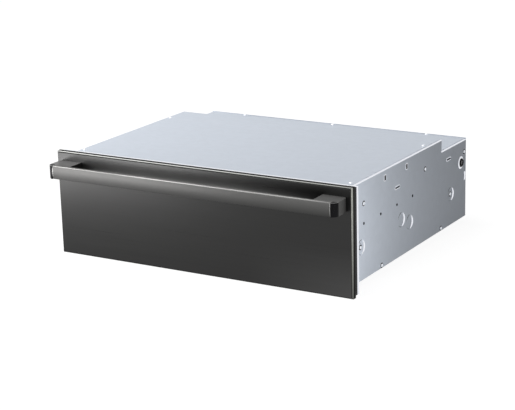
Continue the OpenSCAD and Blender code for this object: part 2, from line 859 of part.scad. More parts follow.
module slide_outer() {
  color("gray") difference() {
    slide_member(slide_y0, slide_l) {
      channel(0, outer_u, outer_v, 0);
      for (side = [-1, 1]) mirror([0, side < 0 ? 1 : 0])
        translate([outer_u - member_t, outer_v - member_t - lip_l]) square([member_t, lip_l + member_t]);
    }
    for (i = [0 : slide_fix_count - 1])
      translate([cavity_half - member_t, slide_fix_y(i), slide_z]) rotate([0, 90, 0]) {
        translate([0, 0, -cut]) cylinder(r = screw_r + fit, h = member_t + 2 * cut);
        translate([0, 0, -fit]) cylinder(r1 = flat_head_r + 2 * fit, r2 = screw_r + fit, h = member_t);
      }
  }
}

module slide_middle() {
  color("darkgray") slide_member(slide_y0, inner_l) channel(middle_u0, middle_u1, middle_v, middle_u0);
}

module slide_inner() {
  color("silver") slide_member(slide_y0, inner_l) channel(inner_u0, inner_u1, inner_v, inner_u1);
}

// A cage between two members, with its balls in two rows
module ball_cage(y0, web_u, ball_v, ball_r) {
  color("goldenrod") difference() {
    slide_member(y0, cage_l) {
      translate([web_u, -ball_v]) square([cage_t, 2 * ball_v]);
      for (side = [-1, 1]) translate([web_u, side * ball_v - cage_flange_t / 2])
        square([cage_flange_l, cage_flange_t]);
    }
    ball_places(y0, web_u, ball_v) cylinder(r = ball_r + fit, h = 2 * ball_r, center = true);
  }
  color("white") ball_places(y0, web_u, ball_v) sphere(ball_r);
}

module ball_places(y0, web_u, ball_v) {
  for (i = [0 : ball_count - 1], side = [-1, 1])
    translate([cavity_half - web_u - ball_u, y0 + cage_l / 2 + (i - (ball_count - 1) / 2) * ball_pitch,
      slide_z + side * ball_v]) children();
}

// Tubes that carry the slide screws from the liner to the side panels
module slide_standoffs() {
  color("silver") difference() {
    both_sides() for (i = [0 : slide_fix_count - 1])
      rod_x(slide_fix_y(i), slide_z, standoff_tube_r, liner_half, side_in);
    slide_fixing_holes(screw_r + fit);
  }
}

module slide_screws() {
  color("silver") slide_fixing_places() mirror([0, 0, 1]) {
    cylinder(r1 = flat_head_r, r2 = screw_r, h = member_t - fit);
    cylinder(r = screw_r, h = slide_screw_l);
  }
}

module side_screws() {
  color("white") both_sides() for (place = side_screw_places)
    translate([place[2], place[0], place[1]]) rotate([0, 90, 0]) screw();
}

module top_screws() {
  color("white") {
    top_screw_places() screw();
    shelf_screw_places() screw();
  }
}

module rear_screws() {
  color("white") back_screw_places() screw();
}

// Plate and bosses of the control strip, behind the mounting flange
module control_fascia() {
  color("black") difference() {
    union() {
      block_between([-fascia[0] / 2, chassis_front_y, fascia_z - fascia[2] / 2],
        [fascia[0] / 2, chassis_front_y + fascia[1], fascia_z + fascia[2] / 2]);
      for (x = [-1, 1], z = [-1, 1])
        rod_y(x * boss_x, fascia_z + z * boss_z, boss_r, chassis_front_y, control_board_y);
    }
    for (i = [0 : key_count - 1]) fascia_opening(key_x(i), key[0] + 2 * gap, key[2] + 2 * gap);
    fascia_opening(0, window[0] + 2 * fit, window[1] + 2 * fit);
  }
}

module fascia_opening(x, w, h) {
  block_between([x - w / 2, chassis_front_y - cut, fascia_z - h / 2],
    [x + w / 2, chassis_front_y + fascia[1] + cut, fascia_z + h / 2]);
}

// Window in front of the display
module display_window() {
  color("midnightblue") block_between(
    [-window[0] / 2, chassis_front_y + fascia[1] - window[2], fascia_z - window[1] / 2],
    [window[0] / 2, chassis_front_y + fascia[1], fascia_z + window[1] / 2]);
}

module control_board() {
  color("darkgreen") {
    block_between([-fascia[0] / 2, control_board_y, fascia_z - fascia[2] / 2],
      [fascia[0] / 2, control_board_y + control_board_t, fascia_z + fascia[2] / 2]);
    // Display block, whose face carries the window
    block_between([-window[0] / 2, chassis_front_y + fascia[1], fascia_z - window[1] / 2],
      [window[0] / 2, control_board_y, fascia_z + window[1] / 2]);
  }
}

// A push key that is kept in its hole by a flange behind the fascia
module control_key(i) {
  color("dimgray") translate([key_x(i), chassis_front_y, fascia_z]) {
    block_between([-key[0] / 2, -key_proud, -key[2] / 2], [key[0] / 2, key[1] - key_proud, key[2] / 2]);
    block_between([-key[0] / 2 - key_lip, fascia[1] + gap, -key[2] / 2 - key_lip],
      [key[0] / 2 + key_lip, fascia[1] + gap + key_lip, key[2] / 2 + key_lip]);
  }
}

// A block with its front edges bevelled on all four sides
module bevelled_block(w, h, d, bevel) {
  intersection() {
    along_x(-w / 2, w / 2) polygon([
      [0, bevel], [bevel, 0], [d, 0], [d, h], [bevel, h], [0, h - bevel]
    ]);
    linear_extrude(h) polygon([
      [-w / 2, d], [-w / 2, bevel], [bevel - w / 2, 0], [w / 2 - bevel, 0], [w / 2, bevel], [w / 2, d]
    ]);
  }
}

// Folded sheet that makes the visible front, with a hem round its open back
module front_skin() {
  color("dimgray") difference() {
    translate([0, face_y, front_z0]) bevelled_block(front_w, front_h, front_d, front_bevel);
    translate([0, face_y + skin_t, front_z0 + skin_t])
      bevelled_block(front_w - 2 * skin_t, front_h - 2 * skin_t, front_d - 2 * skin_t, front_bevel);
    block_between([-front_w / 2 + hem_w, face_y + front_d / 2, front_z0 + hem_w],
      [front_w / 2 - hem_w, skin_back_y + cut, front_z1 - hem_w]);
    handle_screw_places() translate([0, 0, -cut]) cylinder(r = screw_r + fit, h = skin_t + 2 * cut);
  }
}

module front_insulation() {
  color("khaki") difference() {
    block_between([-front_w / 2 + hem_w + gap, face_y + skin_t + gap, front_z0 + hem_w + gap],
      [front_w / 2 - hem_w - gap, backing_y - groove_d - skin_t - gap, front_z1 - hem_w - gap]);
    handle_screw_places() translate([0, 0, -screw_l])
      cylinder(r = screw_head_r + screw_space, h = 2 * screw_l);
  }
}

module ring(outer, inner) {
  difference() {
    rounded_rectangle(outer[0], outer[1], gasket_w);
    rounded_rectangle(inner[0], inner[1], gasket_w / 2);
  }
}

// The ring that follows the edge of the cavity opening, grown or shrunk by an amount
module opening_ring(y0, y1, grow) {
  along_y(y0, y1) translate([0, (cavity_z0 + cavity_z1) / 2]) ring(
    [2 * (cavity_half + gasket_offset + gasket_w + grow),
      cavity_z1 - cavity_z0 + 2 * (gasket_offset + gasket_w + grow)],
    [2 * (cavity_half + gasket_offset - grow), cavity_z1 - cavity_z0 + 2 * (gasket_offset - grow)]);
}

// Black inner frame of the front, with a groove for the gasket and slots for the vent
module backing_frame() {
  color("black") difference() {
    union() {
      difference() {
        block_between([-backing_half, skin_back_y, backing_z0], [backing_half, backing_y, backing_z1]);
        block_between([-backing_half + skin_t, skin_back_y - cut, backing_z0 + skin_t],
          [backing_half - skin_t, backing_y - skin_t, backing_z1 - skin_t]);
      }
      opening_ring(backing_y - groove_d - skin_t, backing_y, skin_t + gasket_gap);
      vent_guides();
    }
    opening_ring(backing_y - groove_d, backing_y + cut, gasket_gap);
    pan_screw_places() translate([0, 0, -screw_l]) cylinder(r = screw_r + fit, h = 2 * screw_l);
    vent_openings(backing_y - 2 * skin_t, backing_y + cut, 0);
  }
}

module vent_openings(y0, y1, shift) {
  for (i = [0 : vent_slots - 1])
    block_between(
      [vent_slot_x(i) + shift - vent_slot[0] / 2, y0, vent_z - vent_slot[1] / 2],
      [vent_slot_x(i) + shift + vent_slot[0] / 2, y1, vent_z + vent_slot[1] / 2]);
}

module vent_guides() {
  for (side = [-1, 1]) {
    edge = vent_z + side * (vent_h / 2 + fit);
    outer_edge = edge + side * vent_guide_t;
    inner_edge = edge - side * vent_lip;
    block_between([-vent_w / 2, backing_y - skin_t / 2, min(edge, outer_edge)],
      [vent_w / 2 + vent_travel, backing_y + vent_t + fit + vent_t, max(edge, outer_edge)]);
    block_between([-vent_w / 2, backing_y + vent_t + 2 * fit, min(inner_edge, outer_edge)],
      [vent_w / 2 + vent_travel, backing_y + 2 * vent_t + fit, max(inner_edge, outer_edge)]);
  }
}

// Slide that opens and closes the vent, with a finger tab
module vent_slide() {
  color("gray") {
    difference() {
      block_between([-vent_w / 2, backing_y + fit, vent_z - vent_h / 2],
        [vent_w / 2, backing_y + fit + vent_t, vent_z + vent_h / 2]);
      vent_openings(backing_y, backing_y + 2 * vent_t, -vent_travel);
    }
    block_between([-vent_tab[0] / 2, backing_y + fit + vent_t / 2, vent_z - vent_tab[2] / 2],
      [vent_tab[0] / 2, backing_y + fit + vent_tab[1], vent_z + vent_tab[2] / 2]);
  }
}

// Seal between the backing frame and the mounting flange
module drawer_gasket() {
  color("darkslategray") opening_ring(backing_y - groove_d, flange_y - gap, 0);
}

// Full-width bar with a slightly crowned front
module handle_bar() {
  crown_r = (pow(handle_h / 2, 2) + pow(bar_crown, 2)) / (2 * bar_crown);
  bar_half = handle_half - handle_corner_r;
  color("dimgray") intersection() {
    block_between([-bar_half, bar_y, bar_z0], [bar_half, bar_y + handle_t, bar_z1]);
    translate([-bar_half - cut, bar_y + crown_r, (bar_z0 + bar_z1) / 2]) rotate([0, 90, 0])
      cylinder(r = crown_r, h = 2 * (bar_half + cut), $fn = crown_steps);
  }
}

// Post between the bar and the skin
module handle_post() {
  color("dimgray") difference() {
    translate([0, 0, bar_z0]) linear_extrude(handle_h) {
      polygon([
        [handle_half - post_w, bar_y + handle_t],
        [handle_half - handle_corner_r, bar_y + handle_t],
        [handle_half - handle_corner_r, bar_y + handle_corner_r],
        [handle_half, bar_y + handle_corner_r],
        [handle_half, face_y - post_edge_r],
        [handle_half - post_edge_r, face_y - post_edge_r],
        [handle_half - post_edge_r, face_y],
        [handle_half - post_w, face_y]
      ]);
      intersection() {
        translate([handle_half - post_edge_r, face_y - post_edge_r]) circle(post_edge_r);
        translate([handle_half - post_edge_r, face_y - post_edge_r]) square(post_edge_r);
      }
    }
    handle_screw_places() translate([0, 0, -cut]) cylinder(r = screw_r + fit, h = handle_screw_l + 2 * cut);
  }
}

// Rounded black corner piece at each end of the bar
module handle_cap() {
  color("black") translate([handle_half - handle_corner_r, bar_y + handle_corner_r, bar_z0])
    intersection() {
      cylinder(r = handle_corner_r, h = handle_h);
      translate([0, -handle_corner_r, 0]) cube([handle_corner_r, handle_corner_r, handle_h]);
    }
}

module handle_screw_places() {
  both_sides() for (side = [-1, 1])
    translate([post_x + side * handle_screw_spread, face_y + skin_t, (bar_z0 + bar_z1) / 2])
      rotate([90, 0, 0]) children();
}

module handle_screws() {
  color("silver") handle_screw_places() mirror([0, 0, 1]) screw(handle_screw_l);
}

// Stainless pan with a rim that rests on the rails
module drawer_pan() {
  pan_h = pan_rim_z - pan_z0;
  color("silver") translate([0, (pan_y0 + pan_y1) / 2, pan_z0]) {
    difference() {
      union() {
        linear_extrude(pan_h) rounded_rectangle(pan_w, pan_d, pan_corner_r);
        translate([0, 0, pan_h - pan_t]) linear_extrude(pan_t)
          rounded_rectangle(2 * rail_half - gap, pan_d + 2 * pan_rim_front, pan_corner_r);
      }
      translate([0, 0, pan_t]) linear_extrude(pan_h)
        rounded_rectangle(pan_w - 2 * pan_t, pan_d - 2 * pan_t, pan_corner_r - pan_t);
    }
  }
}

// Channel that carries the pan's rim, screwed to the front and to the slide's inner member
module rail() {
  rail_z1 = pan_rim_z - pan_t;
  color("silver") difference() {
    union() {
      block_between([rail_half - rail_t, backing_y, rail_z0], [rail_half, rail_y1, rail_z1]);
      for (z = [rail_z0, rail_z1 - rail_t])
        block_between([rail_half - rail_lip_w, backing_y, z], [rail_half, rail_y1, z + rail_t]);
      block_between([rail_half - rail_tab_w, backing_y, rail_z0],
        [rail_half, backing_y + rail_t, rail_tab_z1]);
    }
    pan_screw_places() translate([0, 0, -screw_l]) cylinder(r = screw_r + fit, h = 2 * screw_l);
  }
}

module pan_screw_places() {
  both_sides() for (z = pan_screw_zs)
    translate([pan_screw_x, backing_y + rail_t, z]) rotate([-90, 0, 0]) children();
}

module pan_screws() {
  color("white") pan_screw_places() screw(pan_screw_l);
}

base_pan();
on_side(-1) side_panel(false);  // side_panel_left
side_panel(true);  // side_panel_right
top_cover();
rear_shelf_cover();
back_panel();
mounting_flange();
cavity_liner();
liner_brackets();
rear_bulkhead();
insulation_top();
insulation_bottom();
insulation_sides();
insulation_rear();
heating_element();
element_clips();
temperature_probe();
high_limit_thermostat();
power_board();
board_standoffs();
terminal_block();
cord_bushing();
on_side(-1) slide_outer();  // slide_outer_left
slide_outer();  // slide_outer_right
slide_standoffs();
slide_screws();
side_screws();
top_screws();
rear_screws();
control_fascia();
display_window();
control_board();
control_key(0);  // power_key
control_key(1);  // warmer_key
control_key(2);  // cooler_key
control_key(3);  // timer_key
front_skin();
front_insulation();
backing_frame();
drawer_gasket();
handle_bar();
on_side(-1) handle_post();  // handle_post_left
handle_post();  // handle_post_right
on_side(-1) handle_cap();  // handle_cap_left
handle_cap();  // handle_cap_right
handle_screws();
drawer_pan();
on_side(-1) rail();  // rail_left
rail();  // rail_right
on_side(-1) slide_inner();  // slide_inner_left
slide_inner();  // slide_inner_right
pan_screws();
vent_slide();
on_side(-1) slide_middle();  // slide_middle_left
slide_middle();  // slide_middle_right
on_side(-1) ball_cage(outer_cage_y - cage_l / 2, outer_cage_u, outer_ball_v, outer_ball_r);  // ball_cage_outer_left
ball_cage(outer_cage_y - cage_l / 2, outer_cage_u, outer_ball_v, outer_ball_r);  // ball_cage_outer_right
on_side(-1) ball_cage(inner_cage_y - cage_l / 2, inner_cage_u, inner_ball_v, inner_ball_r);  // ball_cage_inner_left
ball_cage(inner_cage_y - cage_l / 2, inner_cage_u, inner_ball_v, inner_ball_r);  // ball_cage_inner_right
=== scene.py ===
from math import copysign, cos, hypot, pi, radians, sin, sqrt

import bmesh
import bpy
from mathutils import Matrix, Vector


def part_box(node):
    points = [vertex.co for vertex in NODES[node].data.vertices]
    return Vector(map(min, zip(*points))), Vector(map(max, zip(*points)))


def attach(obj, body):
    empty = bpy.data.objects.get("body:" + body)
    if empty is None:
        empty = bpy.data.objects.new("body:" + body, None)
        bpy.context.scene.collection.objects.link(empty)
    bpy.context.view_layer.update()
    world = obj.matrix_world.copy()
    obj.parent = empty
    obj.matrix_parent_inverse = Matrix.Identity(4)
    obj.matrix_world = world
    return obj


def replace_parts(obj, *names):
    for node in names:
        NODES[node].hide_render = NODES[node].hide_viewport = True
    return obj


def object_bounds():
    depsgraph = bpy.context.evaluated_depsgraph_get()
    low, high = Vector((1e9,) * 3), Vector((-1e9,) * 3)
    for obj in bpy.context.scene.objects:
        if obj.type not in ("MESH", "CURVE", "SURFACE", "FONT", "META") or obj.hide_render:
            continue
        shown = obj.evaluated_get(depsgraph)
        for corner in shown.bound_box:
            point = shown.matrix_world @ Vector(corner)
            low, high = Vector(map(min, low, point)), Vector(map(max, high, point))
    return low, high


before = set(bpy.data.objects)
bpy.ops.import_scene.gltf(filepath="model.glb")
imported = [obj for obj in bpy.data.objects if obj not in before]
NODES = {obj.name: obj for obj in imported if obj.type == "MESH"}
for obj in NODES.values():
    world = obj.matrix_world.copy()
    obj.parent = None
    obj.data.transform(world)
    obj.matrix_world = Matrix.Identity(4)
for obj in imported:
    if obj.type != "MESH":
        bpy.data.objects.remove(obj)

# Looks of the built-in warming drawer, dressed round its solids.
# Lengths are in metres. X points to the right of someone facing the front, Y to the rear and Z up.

MM = 0.001
SOLID_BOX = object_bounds()


# Camera, at the place and with the lens of the photograph

IMAGE_WIDTH = 515
SENSOR_WIDTH = 36
CAMERA_PLACE = Vector((1.8498, -3.1507, 1.1060))
AZIMUTH = radians(31.021)
ELEVATION = radians(15.948)
ROLL = radians(-1.552)
FOCAL_PIXELS = 1612.7


def add_camera():
    back = Vector((sin(AZIMUTH) * cos(ELEVATION), -cos(AZIMUTH) * cos(ELEVATION), sin(ELEVATION)))
    right = (-back).cross(Vector((0, 0, 1))).normalized()
    up = right.cross(-back)
    rolled_right = cos(ROLL) * right + sin(ROLL) * up
    rolled_up = cos(ROLL) * up - sin(ROLL) * right
    data = bpy.data.cameras.new("camera")
    data.sensor_width = SENSOR_WIDTH
    data.lens = FOCAL_PIXELS * SENSOR_WIDTH / IMAGE_WIDTH
    data.clip_end = 50
    camera = bpy.data.objects.new("camera", data)
    camera.matrix_world = Matrix((
        (rolled_right.x, rolled_up.x, back.x, CAMERA_PLACE.x),
        (rolled_right.y, rolled_up.y, back.y, CAMERA_PLACE.y),
        (rolled_right.z, rolled_up.z, back.z, CAMERA_PLACE.z),
        (0, 0, 0, 1),
    ))
    bpy.context.scene.collection.objects.link(camera)
    bpy.context.scene.camera = camera


# Node helpers. Each adds to the nodes of its owner, a material or the world.

def feed(owner, socket, value):
    """Gives a socket a number, a colour or the output of another node."""
    if isinstance(value, bpy.types.NodeSocket):
        owner.node_tree.links.new(value, socket)
    elif socket.type == "RGBA":
        socket.default_value = (*value, 1)
    else:
        socket.default_value = value


def add_node(owner, kind, **inputs):
    """Adds a shader node and feeds its sockets. Their names have _ for a space."""
    node = owner.node_tree.nodes.new("ShaderNode" + kind)
    for name, value in inputs.items():
        feed(owner, node.inputs[name.replace("_", " ")], value)
    return node


def object_place(owner, stretch=(1, 1, 1)):
    """Object coordinates, stretched along the axes, for a pattern that stays on the piece."""
    place = add_node(owner, "TexCoord").outputs["Object"]
    return add_node(owner, "Mapping", Vector=place, Scale=stretch).outputs["Vector"]


def noise(owner, scale, stretch=(1, 1, 1), detail=4.0, roughness=0.55):
    place = object_place(owner, stretch)
    node = add_node(owner, "TexNoise", Vector=place, Scale=scale, Detail=detail, Roughness=roughness)
    return node.outputs["Fac"]


def cells(owner, scale):
    """One grey value for each cell of a Voronoi pattern."""
    node = add_node(owner, "TexVoronoi", Vector=object_place(owner), Scale=scale, Randomness=1.0)
    return add_node(owner, "SeparateColor", Color=node.outputs["Color"]).outputs["Red"]


def remap(owner, value, low, high, from_low=0.0, from_high=1.0):
    ends = {"From_Min": from_low, "From_Max": from_high, "To_Min": low, "To_Max": high}
    return add_node(owner, "MapRange", Value=value, **ends).outputs["Result"]


def math_node(owner, operation, first, second):
    node = add_node(owner, "Math")
    node.operation = operation
    feed(owner, node.inputs[0], first)
    feed(owner, node.inputs[1], second)
    return node.outputs["Value"]


def band(owner, value, start, stop, soft):
    """A value that is 1 between start and stop and fades to 0 outside them."""
    rise = remap(owner, value, 0, 1, start - soft, start)
    fall = remap(owner, value, 1, 0, stop, stop + soft)
    return math_node(owner, "MINIMUM", rise, fall)


def object_axis(owner, kind, axis):
    """One axis of the object coordinates (kind Object) or of the object's own normals (kind Normal)."""
    place = add_node(owner, "TexCoord").outputs[kind]
    return add_node(owner, "SeparateXYZ", Vector=place).outputs[axis]


def along(owner, axis, box):
    """A value that goes from 0 to 1 along one axis of a box."""
    low, high = (corner["XYZ".index(axis)] for corner in box)
    return remap(owner, object_axis(owner, "Object", axis), 0, 1, low, high)


def facing_up(owner):
    """A value that is 1 on surfaces that face up and 0 on upright ones."""
    return remap(owner, object_axis(owner, "Normal", "Z"), 0, 1, 0.3, 0.5)


def blend_colours(owner, value, low, high):
    """Blends two colours, each given as numbers or as an output."""
    node = add_node(owner, "Mix")
    node.data_type = "RGBA"
    sockets = {socket.name: socket for socket in node.inputs if socket.type == "RGBA"}
    feed(owner, sockets["A"], low)
    feed(owner, sockets["B"], high)
    feed(owner, node.inputs["Factor"], value)
    return [output for output in node.outputs if output.type == "RGBA"][0]


def scale_colour(owner, colour, factor):
    """Multiplies a colour output by a value."""
    node = add_node(owner, "VectorMath")
    node.operation = "SCALE"
    feed(owner, node.inputs["Vector"], colour)
    feed(owner, node.inputs["Scale"], factor)
    return node.outputs["Vector"]


# Helpers for the materials

def shader_of(material):
    return material.node_tree.nodes["Principled BSDF"]


def new_material(name, colour, roughness, metallic=0.0, gloss=0.5, sheen=0.0, coat=0.0):
    material = bpy.data.materials.new(name)
    material.use_nodes = True
    material.diffuse_color = (*colour, 1)
    settings = {
        "Base Color": colour, "Roughness": roughness, "Metallic": metallic,
        "Specular IOR Level": gloss, "Sheen Weight": sheen, "Coat Weight": coat,
    }
    for socket_name, value in settings.items():
        feed(material, shader_of(material).inputs[socket_name], value)
    return material


def shades(colour, darkest, lightest):
    return tuple(tuple(min(1.0, c * factor) for c in colour) for factor in (darkest, lightest))


def vary(material, pattern, colours=None, roughness=None, bumps=None):
    """Lets a pattern change the colour and the roughness between two values each, and raise bumps.
    bumps is (strength, depth)."""
    sockets = shader_of(material).inputs
    if colours:
        feed(material, sockets["Base Color"], blend_colours(material, pattern, *colours))
    if roughness:
        feed(material, sockets["Roughness"], remap(material, pattern, *roughness))
    if bumps:
        strength, depth = bumps
        node = add_node(material, "Bump", Height=pattern, Strength=strength, Distance=depth)
        feed(material, sockets["Normal"], node.outputs["Normal"])
    return material


# Materials

BLACK_BRUSH = {
    "metallic": 0.85, "detail": 3, "fineness": 0.7, "grain": (0.94, 1.06), "bumps": (0.04, 0.05 * MM),
}
FACE_STRETCH = (3, 420, 420)
HANDLE_STRETCH = (6, 900, 900)
POST_STRETCH = (500, 500, 20)


def zinc_sheet():
    """Galvanised sheet: a faint spangle, long rolling marks and a soft sheen."""
    colour = (0.595, 0.645, 0.722)
    material = new_material("galvanised_sheet", colour, 0.42, metallic=0.04, gloss=0.2)
    vary(material, cells(material, 75), colours=shades(colour, 0.985, 1.015))
    vary(material, noise(material, 9, (1, 14, 14), 3), roughness=(0.36, 0.48))
    return vary(material, noise(material, 900, detail=2), bumps=(0.05, 0.2 * MM))


def bright_metal(name, colour, metallic, cloud_scale, darkest, smear_scale, roughness):
    """Bright metal with faint darker clouds and smears: a painted highlight on the zinc sheet's bends, zinc
    plate or brass.
    """
    material = new_material(name, colour, sum(roughness) / 2, metallic)
    vary(material, noise(material, cloud_scale), colours=shades(colour, darkest, 1))
    return vary(material, noise(material, smear_scale), roughness=roughness)


def brushed(name, colour, stretch, roughness, metallic=0.9, detail=4, fineness=0.65, grain=(0.93, 1.06),
            bumps=(0.05, 0.06 * MM)):
    """Metal with a fine straight grain along the least stretched axis."""
    material = new_material(name, colour, sum(roughness) / 2, metallic)
    lines = noise(material, 1, stretch, detail, fineness)
    return vary(material, lines, shades(colour, *grain), roughness, bumps)


def front_steel(name, box):
    """The brushed finish of the face, with painted highlights on the bevels, painted shade and painted light
    on the folds behind it, and painted reflection and painted light on the face itself.
    """
    material = brushed(name, (0.0330, 0.0328, 0.0326), FACE_STRETCH, (0.26, 0.31), **BLACK_BRUSH)
    sockets = shader_of(material).inputs
    feed(material, sockets["Specular Tint"], (0.1, 0.1, 0.1))
    grain = sockets["Base Color"].links[0].from_socket
    across, depth, height = (along(material, axis, box) for axis in "XYZ")

    # Painted light: the face is lighter toward its lower right corner, a painted reflection of the bright
    # floor, and above the handle, a painted pool of light
    rightward = remap(material, across, 0, 1, 0.66, 1)
    downward = remap(material, height, 1, 0, 0, 0.45)
    painted_corner_glow = math_node(material, "MULTIPLY", rightward, downward)
    # From here on grain also carries the painted reflection toward the corner
    grain = scale_colour(material, grain, remap(material, painted_corner_glow, 1, 1.8))
    toward_handle = math_node(material, "POWER", remap(material, height, 1, 0, 0.84, 1), 1.9)
    painted_light_above_handle = blend_colours(material, toward_handle, (0.042, 0.0418, 0.0415), (0.46, 0.458, 0.455))
    above_handle = remap(material, height, 0, 1, 0.785, 0.84)
    middle = band(material, across, 0.3, 0.6, 0.3)
    face = blend_colours(material, math_node(material, "MULTIPLY", above_handle, middle), grain, painted_light_above_handle)

    # Painted light on the edges: a painted highlight on the bevels, and on the folds behind them painted
    # shade with a painted lit grey band. They are told apart by how far behind the face they lie
    dark, grey = (0.006, 0.0062, 0.006), (0.060, 0.062, 0.060)
    folds = blend_colours(material, band(material, depth, 0.74, 1.1, 0.04), dark, grey)
    # The side bevel's painted highlight grows stronger toward the top, and the top bevel's toward the left
    painted_side_bevel_highlight = blend_colours(material, height, (0.10, 0.102, 0.095), (0.32, 0.325, 0.30))
    side = blend_colours(material, band(material, depth, 0.09, 0.33, 0.03), folds, painted_side_bevel_highlight)
    painted_top_bevel_highlight = blend_colours(material, across, (0.22, 0.222, 0.215), (0.085, 0.087, 0.082))
    top = blend_colours(material, band(material, depth, 0.15, 0.26, 0.02), dark, painted_top_bevel_highlight)
    finish = blend_colours(material, facing_up(material), side, top)
    face_y = box[0].y
    back = object_axis(material, "Object", "Y")
    behind = remap(material, back, 0, 1, face_y + 0.1 * MM, face_y + 0.2 * MM)
    feed(material, sockets["Base Color"], blend_colours(material, behind, face, finish))
    return material


def handle_steel(name, box):
    """The brushed finish of the handle bar, with painted light and shade: lighter at the top and darker at
    the bottom at its right end, and a little lighter low down at its left end.
    """
    material = brushed(name, (0.060, 0.059, 0.058), HANDLE_STRETCH, (0.46, 0.56), **BLACK_BRUSH)
    streaks = remap(material, noise(material, 1, HANDLE_STRETCH, 3, 0.7), -0.08, 0.08)
    height = math_node(material, "ADD", along(material, "Z", box), streaks)
    # Painted light and shade: left and right are the bar's colours at each end, shaded by height
    left = blend_colours(material, height, (0.070, 0.069, 0.068), (0.052, 0.051, 0.050))
    right = blend_colours(material, height, (0.036, 0.036, 0.035), (0.108, 0.107, 0.105))
    return vary(material, along(material, "X", box), colours=(left, right))


def post_steel(name, box):
    """The brushed finish of the handle posts, with a painted highlight on their tops that grows stronger
    toward the face.
    """
    material = brushed(name, (0.052, 0.051, 0.050), POST_STRETCH, (0.40, 0.50), **BLACK_BRUSH)
    grain = shader_of(material).inputs["Base Color"].links[0].from_socket
    # Painted light: the tops, found by facing_up, get a lighter colour than the sides
    top = blend_colours(material, along(material, "Y", box), (0.10, 0.099, 0.098), (0.25, 0.248, 0.245))
    return vary(material, facing_up(material), colours=(grain, top))


def painted_edge_highlight(name, box):
    """Painted highlights on the edges of the handle, brightest along the middle."""
    ends, middle = (0.17, 0.168, 0.164), (0.32, 0.316, 0.31)
    material = brushed(name, middle, HANDLE_STRETCH, (0.30, 0.42), **BLACK_BRUSH)
    return vary(material, band(material, along(material, "X", box), 0.35, 0.9, 0.12), colours=(ends, middle))


def powder_coat():
    colour = (0.006, 0.006, 0.007)
    material = new_material("black_powder_coat", colour, 0.38, gloss=0.12)
    skin = noise(material, 700, detail=2)
    return vary(material, skin, shades(colour, 0.85, 1.2), (0.30, 0.46), (0.12, 0.1 * MM))


def plastic(name, colour, roughness=0.45, gloss=0.5):
    """Moulded plastic with a fine texture."""
    material = new_material(name, colour, roughness, gloss=gloss)
    skin = noise(material, 1600, detail=2)
    worn = (roughness - 0.06, roughness + 0.08)
    return vary(material, skin, shades(colour, 0.92, 1.08), worn, (0.08, 0.05 * MM))


# Painted dark reflection: the handle caps are the posts' black stainless, given this near-black copy so
# their rounded corners look dark
def painted_dark_reflection():
    colour = (0.004, 0.004, 0.0045)
    material = new_material("painted_dark_reflection", colour, 0.4, gloss=0.05)
    return vary(material, noise(material, 60), shades(colour, 0.8, 1.3), (0.36, 0.46))


def mineral_wool():
    """Bonded wool with a loose surface, made dark as painted shade so the openings in the side panels read
    dark.
    """
    material = new_material("mineral_wool", (0.06, 0.056, 0.05), 0.95, sheen=0.1)
    fibres = noise(material, 260, (1, 1, 3), 8, 0.75)
    return vary(material, fibres, ((0.028, 0.026, 0.023), (0.105, 0.098, 0.088)), bumps=(0.9, 2 * MM))


def heater_sheath():
    """Steel tube that heat has turned brown and blue."""
    material = new_material("heater_sheath", (0.16, 0.14, 0.13), 0.42, 0.7)
    vary(material, noise(material, 22, detail=5), colours=((0.11, 0.075, 0.05), (0.20, 0.20, 0.235)))
    return vary(material, noise(material, 400), roughness=(0.34, 0.52))


def silicone():
    colour = (0.035, 0.035, 0.037)
    material = new_material("seal_silicone", colour, 0.62, sheen=0.15)
    return vary(material, noise(material, 500, detail=3), shades(colour, 0.8, 1.25), bumps=(0.1, 0.1 * MM))


def circuit_board():
    """Green lacquer over copper tracks."""
    material = new_material("circuit_board", (0.02, 0.14, 0.05), 0.32)
    place = object_place(material)
    tracks = add_node(material, "TexBrick", Vector=place, Scale=160, Mortar_Size=0.035)
    colours = ((0.015, 0.115, 0.045), (0.05, 0.24, 0.10))
    return vary(material, tracks.outputs["Fac"], colours, bumps=(0.15, 0.05 * MM))


def display_glass():
    material = new_material("display_glass", (0.004, 0.006, 0.011), 0.06, coat=0.5)
    return vary(material, noise(material, 90), roughness=(0.04, 0.11))


ZINC = zinc_sheet()
BEND_HIGHLIGHT = bright_metal("painted_bend_highlight", (0.85, 0.87, 0.92), 0.95, 160, 0.95, 400, (0.24, 0.38))
BRIGHT = bright_metal("bright_zinc", (0.84, 0.87, 0.92), 0.75, 120, 0.94, 300, (0.22, 0.36))
BRASS = bright_metal("terminal_brass", (0.72, 0.50, 0.20), 1.0, 200, 0.7, 200, (0.24, 0.42))
BAR_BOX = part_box("handle_bar")
FRONT = front_steel("front_black_stainless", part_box("front_skin"))
HANDLE = handle_steel("handle_black_stainless", BAR_BOX)
POST = post_steel("post_black_stainless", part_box("handle_post_right"))
EDGE_HIGHLIGHT = painted_edge_highlight("painted_black_edge_highlight", BAR_BOX)
CAP_DARK_REFLECTION = painted_dark_reflection()
ENAMEL = powder_coat()
PAN_STEEL = brushed("pan_steel", (0.46, 0.46, 0.45), (500, 6, 500), (0.34, 0.46))
LINER_STEEL = brushed("liner_steel", (0.40, 0.40, 0.39), (6, 500, 500), (0.34, 0.46))
SLIDE_STEEL = brushed("slide_steel", (0.60, 0.62, 0.65), (700, 12, 700), (0.24, 0.34))
BALL_STEEL = brushed("ball_steel", (0.72, 0.72, 0.74), (400, 400, 400), (0.10, 0.20))
WOOL = mineral_wool()
SHEATH = heater_sheath()
BLACK_PLASTIC = plastic("black_plastic", (0.014, 0.014, 0.015))
BUSHING_PLASTIC = plastic("bushing_plastic", (0.004, 0.004, 0.0045), gloss=0.08)
PETAL_HIGHLIGHT_PLASTIC = plastic("petal_painted_highlight", (0.36, 0.36, 0.37))
